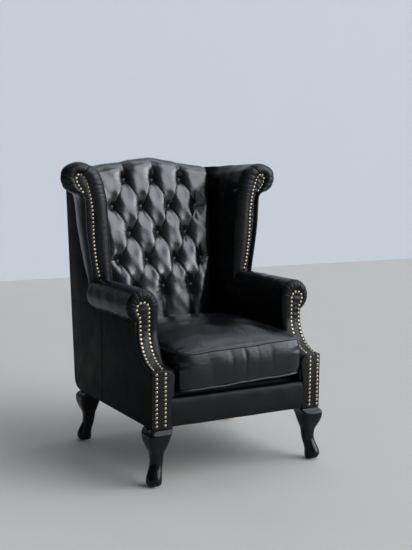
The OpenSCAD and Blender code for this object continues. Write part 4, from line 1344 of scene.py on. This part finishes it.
class CHAIR_OT_panels(PieceOperator):
    """Builds the outside panels, the columns and the front border"""

    bl_idname = "chair.panels"
    bl_label = "Panels"

    def execute(self, context):
        for side, word in SIDES:
            node = "arm_outside_" + word
            bm = copy_node(node, PANEL_SOFT, shape=reach_forward)
            groove(bm, SIDE_SEAM_Y, side)
            made = finish_piece(bm, "outside_arm_" + word, hide("Panel"), sharp=70)
            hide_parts(node)
            node = "wing_outside_" + word
            bm = copy_node(node, PANEL_SOFT, shape=slant_edge)
            made = finish_piece(bm, "outside_wing_" + word, hide("Panel"), sharp=70)
            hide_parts(node)
            node = "arm_column_" + word
            cuts = []
            for turn in np.radians([15, 37.5, 60]):
                x = SHOULDER_X - SHOULDER_R * math.cos(turn)
                z = SHOULDER_Z + SHOULDER_R * math.sin(turn)
                cuts.append(((side * x, 0, z), (side * math.cos(turn), 0, -math.sin(turn))))
            bm = copy_node(node, COLUMN_SOFT, cut=cuts, shape=widen_column)
            made = finish_piece(bm, "column_" + word, hide("Roll"), sharp=70)
            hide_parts(node)
        bm = copy_node("outside_back", BACK_SOFT)
        made = finish_piece(bm, "back_panel", hide("Roll"), sharp=70)
        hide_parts("outside_back")
        border()
        return {"FINISHED"}


class CHAIR_OT_cushion(PieceOperator):
    """Builds the loose seat cushion with its piping"""

    bl_idname = "chair.cushion"
    bl_label = "Seat Cushion"

    def execute(self, context):
        seat_cushion()
        cushion_piping()
        return {"FINISHED"}


class CHAIR_OT_legs(PieceOperator):
    """Builds the four lacquered legs"""

    bl_idname = "chair.legs"
    bl_label = "Legs"

    def execute(self, context):
        for side, word in SIDES:
            leg(side, word, FRONT_LEG_Y, -1, "front")
            leg(side, word, BACK_LEG_Y, 1, "back")
        return {"FINISHED"}


def dress(names, material):
    """Gives CAD nodes a finish."""
    for name in names:
        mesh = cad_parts[name].data
        if not mesh.materials:
            mesh.materials.append(material)
        for i in range(len(mesh.materials)):
            mesh.materials[i] = material


class CHAIR_OT_fittings(PieceOperator):
    """Finishes the nails, the glides and the frame inside"""

    bl_idname = "chair.fittings"
    bl_label = "Fittings"

    def execute(self, context):
        tone = tuple(colours().brass)
        brass = simple("Nail brass", tone, 0.28, 0.5, metal=1.0, scale=120, depth=0.00005)
        dress(["wing_nails_left", "wing_nails_right", "arm_nails_left", "arm_nails_right"], brass)
        dress(["foot_glides"], simple("Glide", (0.7, 0.69, 0.66), 0.45, 0.4))
        steel = simple("Steel", (0.45, 0.46, 0.48), 0.38, 0.5, metal=1.0, scale=90)
        dress(["leg_plates", "leg_bolts", "seat_springs", "spring_clips"], steel)
        timber = ["front_seat_rail", "back_seat_rail", "back_top_rail", "back_lower_rail"]
        for name in ("side_seat_rail", "back_post", "arm_post", "arm_rail", "wing_board"):
            timber += [name + "_left", name + "_right"]
        dress([*timber, "corner_blocks"], wood("Beech"))
        dress(["back_webbing"], woven("Webbing", (0.3, 0.24, 0.16), 260))
        dress(["seat_deck", "dust_cover"], woven("Lining", (0.012, 0.012, 0.013), 400))
        return {"FINISHED"}


class CHAIR_PT_panel(bpy.types.Panel):
    """Lists the armchair's sizes, colours and pieces"""

    bl_label = "Armchair"
    bl_idname = "CHAIR_PT_panel"
    bl_space_type = "VIEW_3D"
    bl_region_type = "UI"
    bl_category = "Armchair"

    def draw(self, context):
        layout = self.layout
        scene = context.scene
        for group in (scene.chair_shapes, scene.chair_colours, scene.chair_stage):
            box = layout.box()
            for name in group.__annotations__:
                box.prop(group, name)
        for cls in OPERATORS:
            layout.operator(cls.bl_idname)


OPERATORS = (
    CHAIR_OT_stage,
    CHAIR_OT_back,
    CHAIR_OT_wings,
    CHAIR_OT_arms,
    CHAIR_OT_panels,
    CHAIR_OT_cushion,
    CHAIR_OT_legs,
    CHAIR_OT_fittings,
)
GROUPS = {"chair_shapes": ChairShapes, "chair_colours": ChairColours, "chair_stage": ChairStage}


def register():
    for cls in (*GROUPS.values(), *OPERATORS, CHAIR_PT_panel):
        bpy.utils.register_class(cls)
    for name, cls in GROUPS.items():
        setattr(bpy.types.Scene, name, bpy.props.PointerProperty(type=cls))


def unregister():
    for name in GROUPS:
        delattr(bpy.types.Scene, name)
    for cls in reversed((*GROUPS.values(), *OPERATORS, CHAIR_PT_panel)):
        bpy.utils.unregister_class(cls)


def main():
    """Builds the chair."""
    register()
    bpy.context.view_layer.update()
    bpy.ops.chair.stage()
    bpy.ops.chair.back()
    bpy.ops.chair.wings()
    bpy.ops.chair.arms()
    bpy.ops.chair.panels()
    bpy.ops.chair.cushion()
    bpy.ops.chair.legs()
    bpy.ops.chair.fittings()


if __name__ == "__main__":
    main()
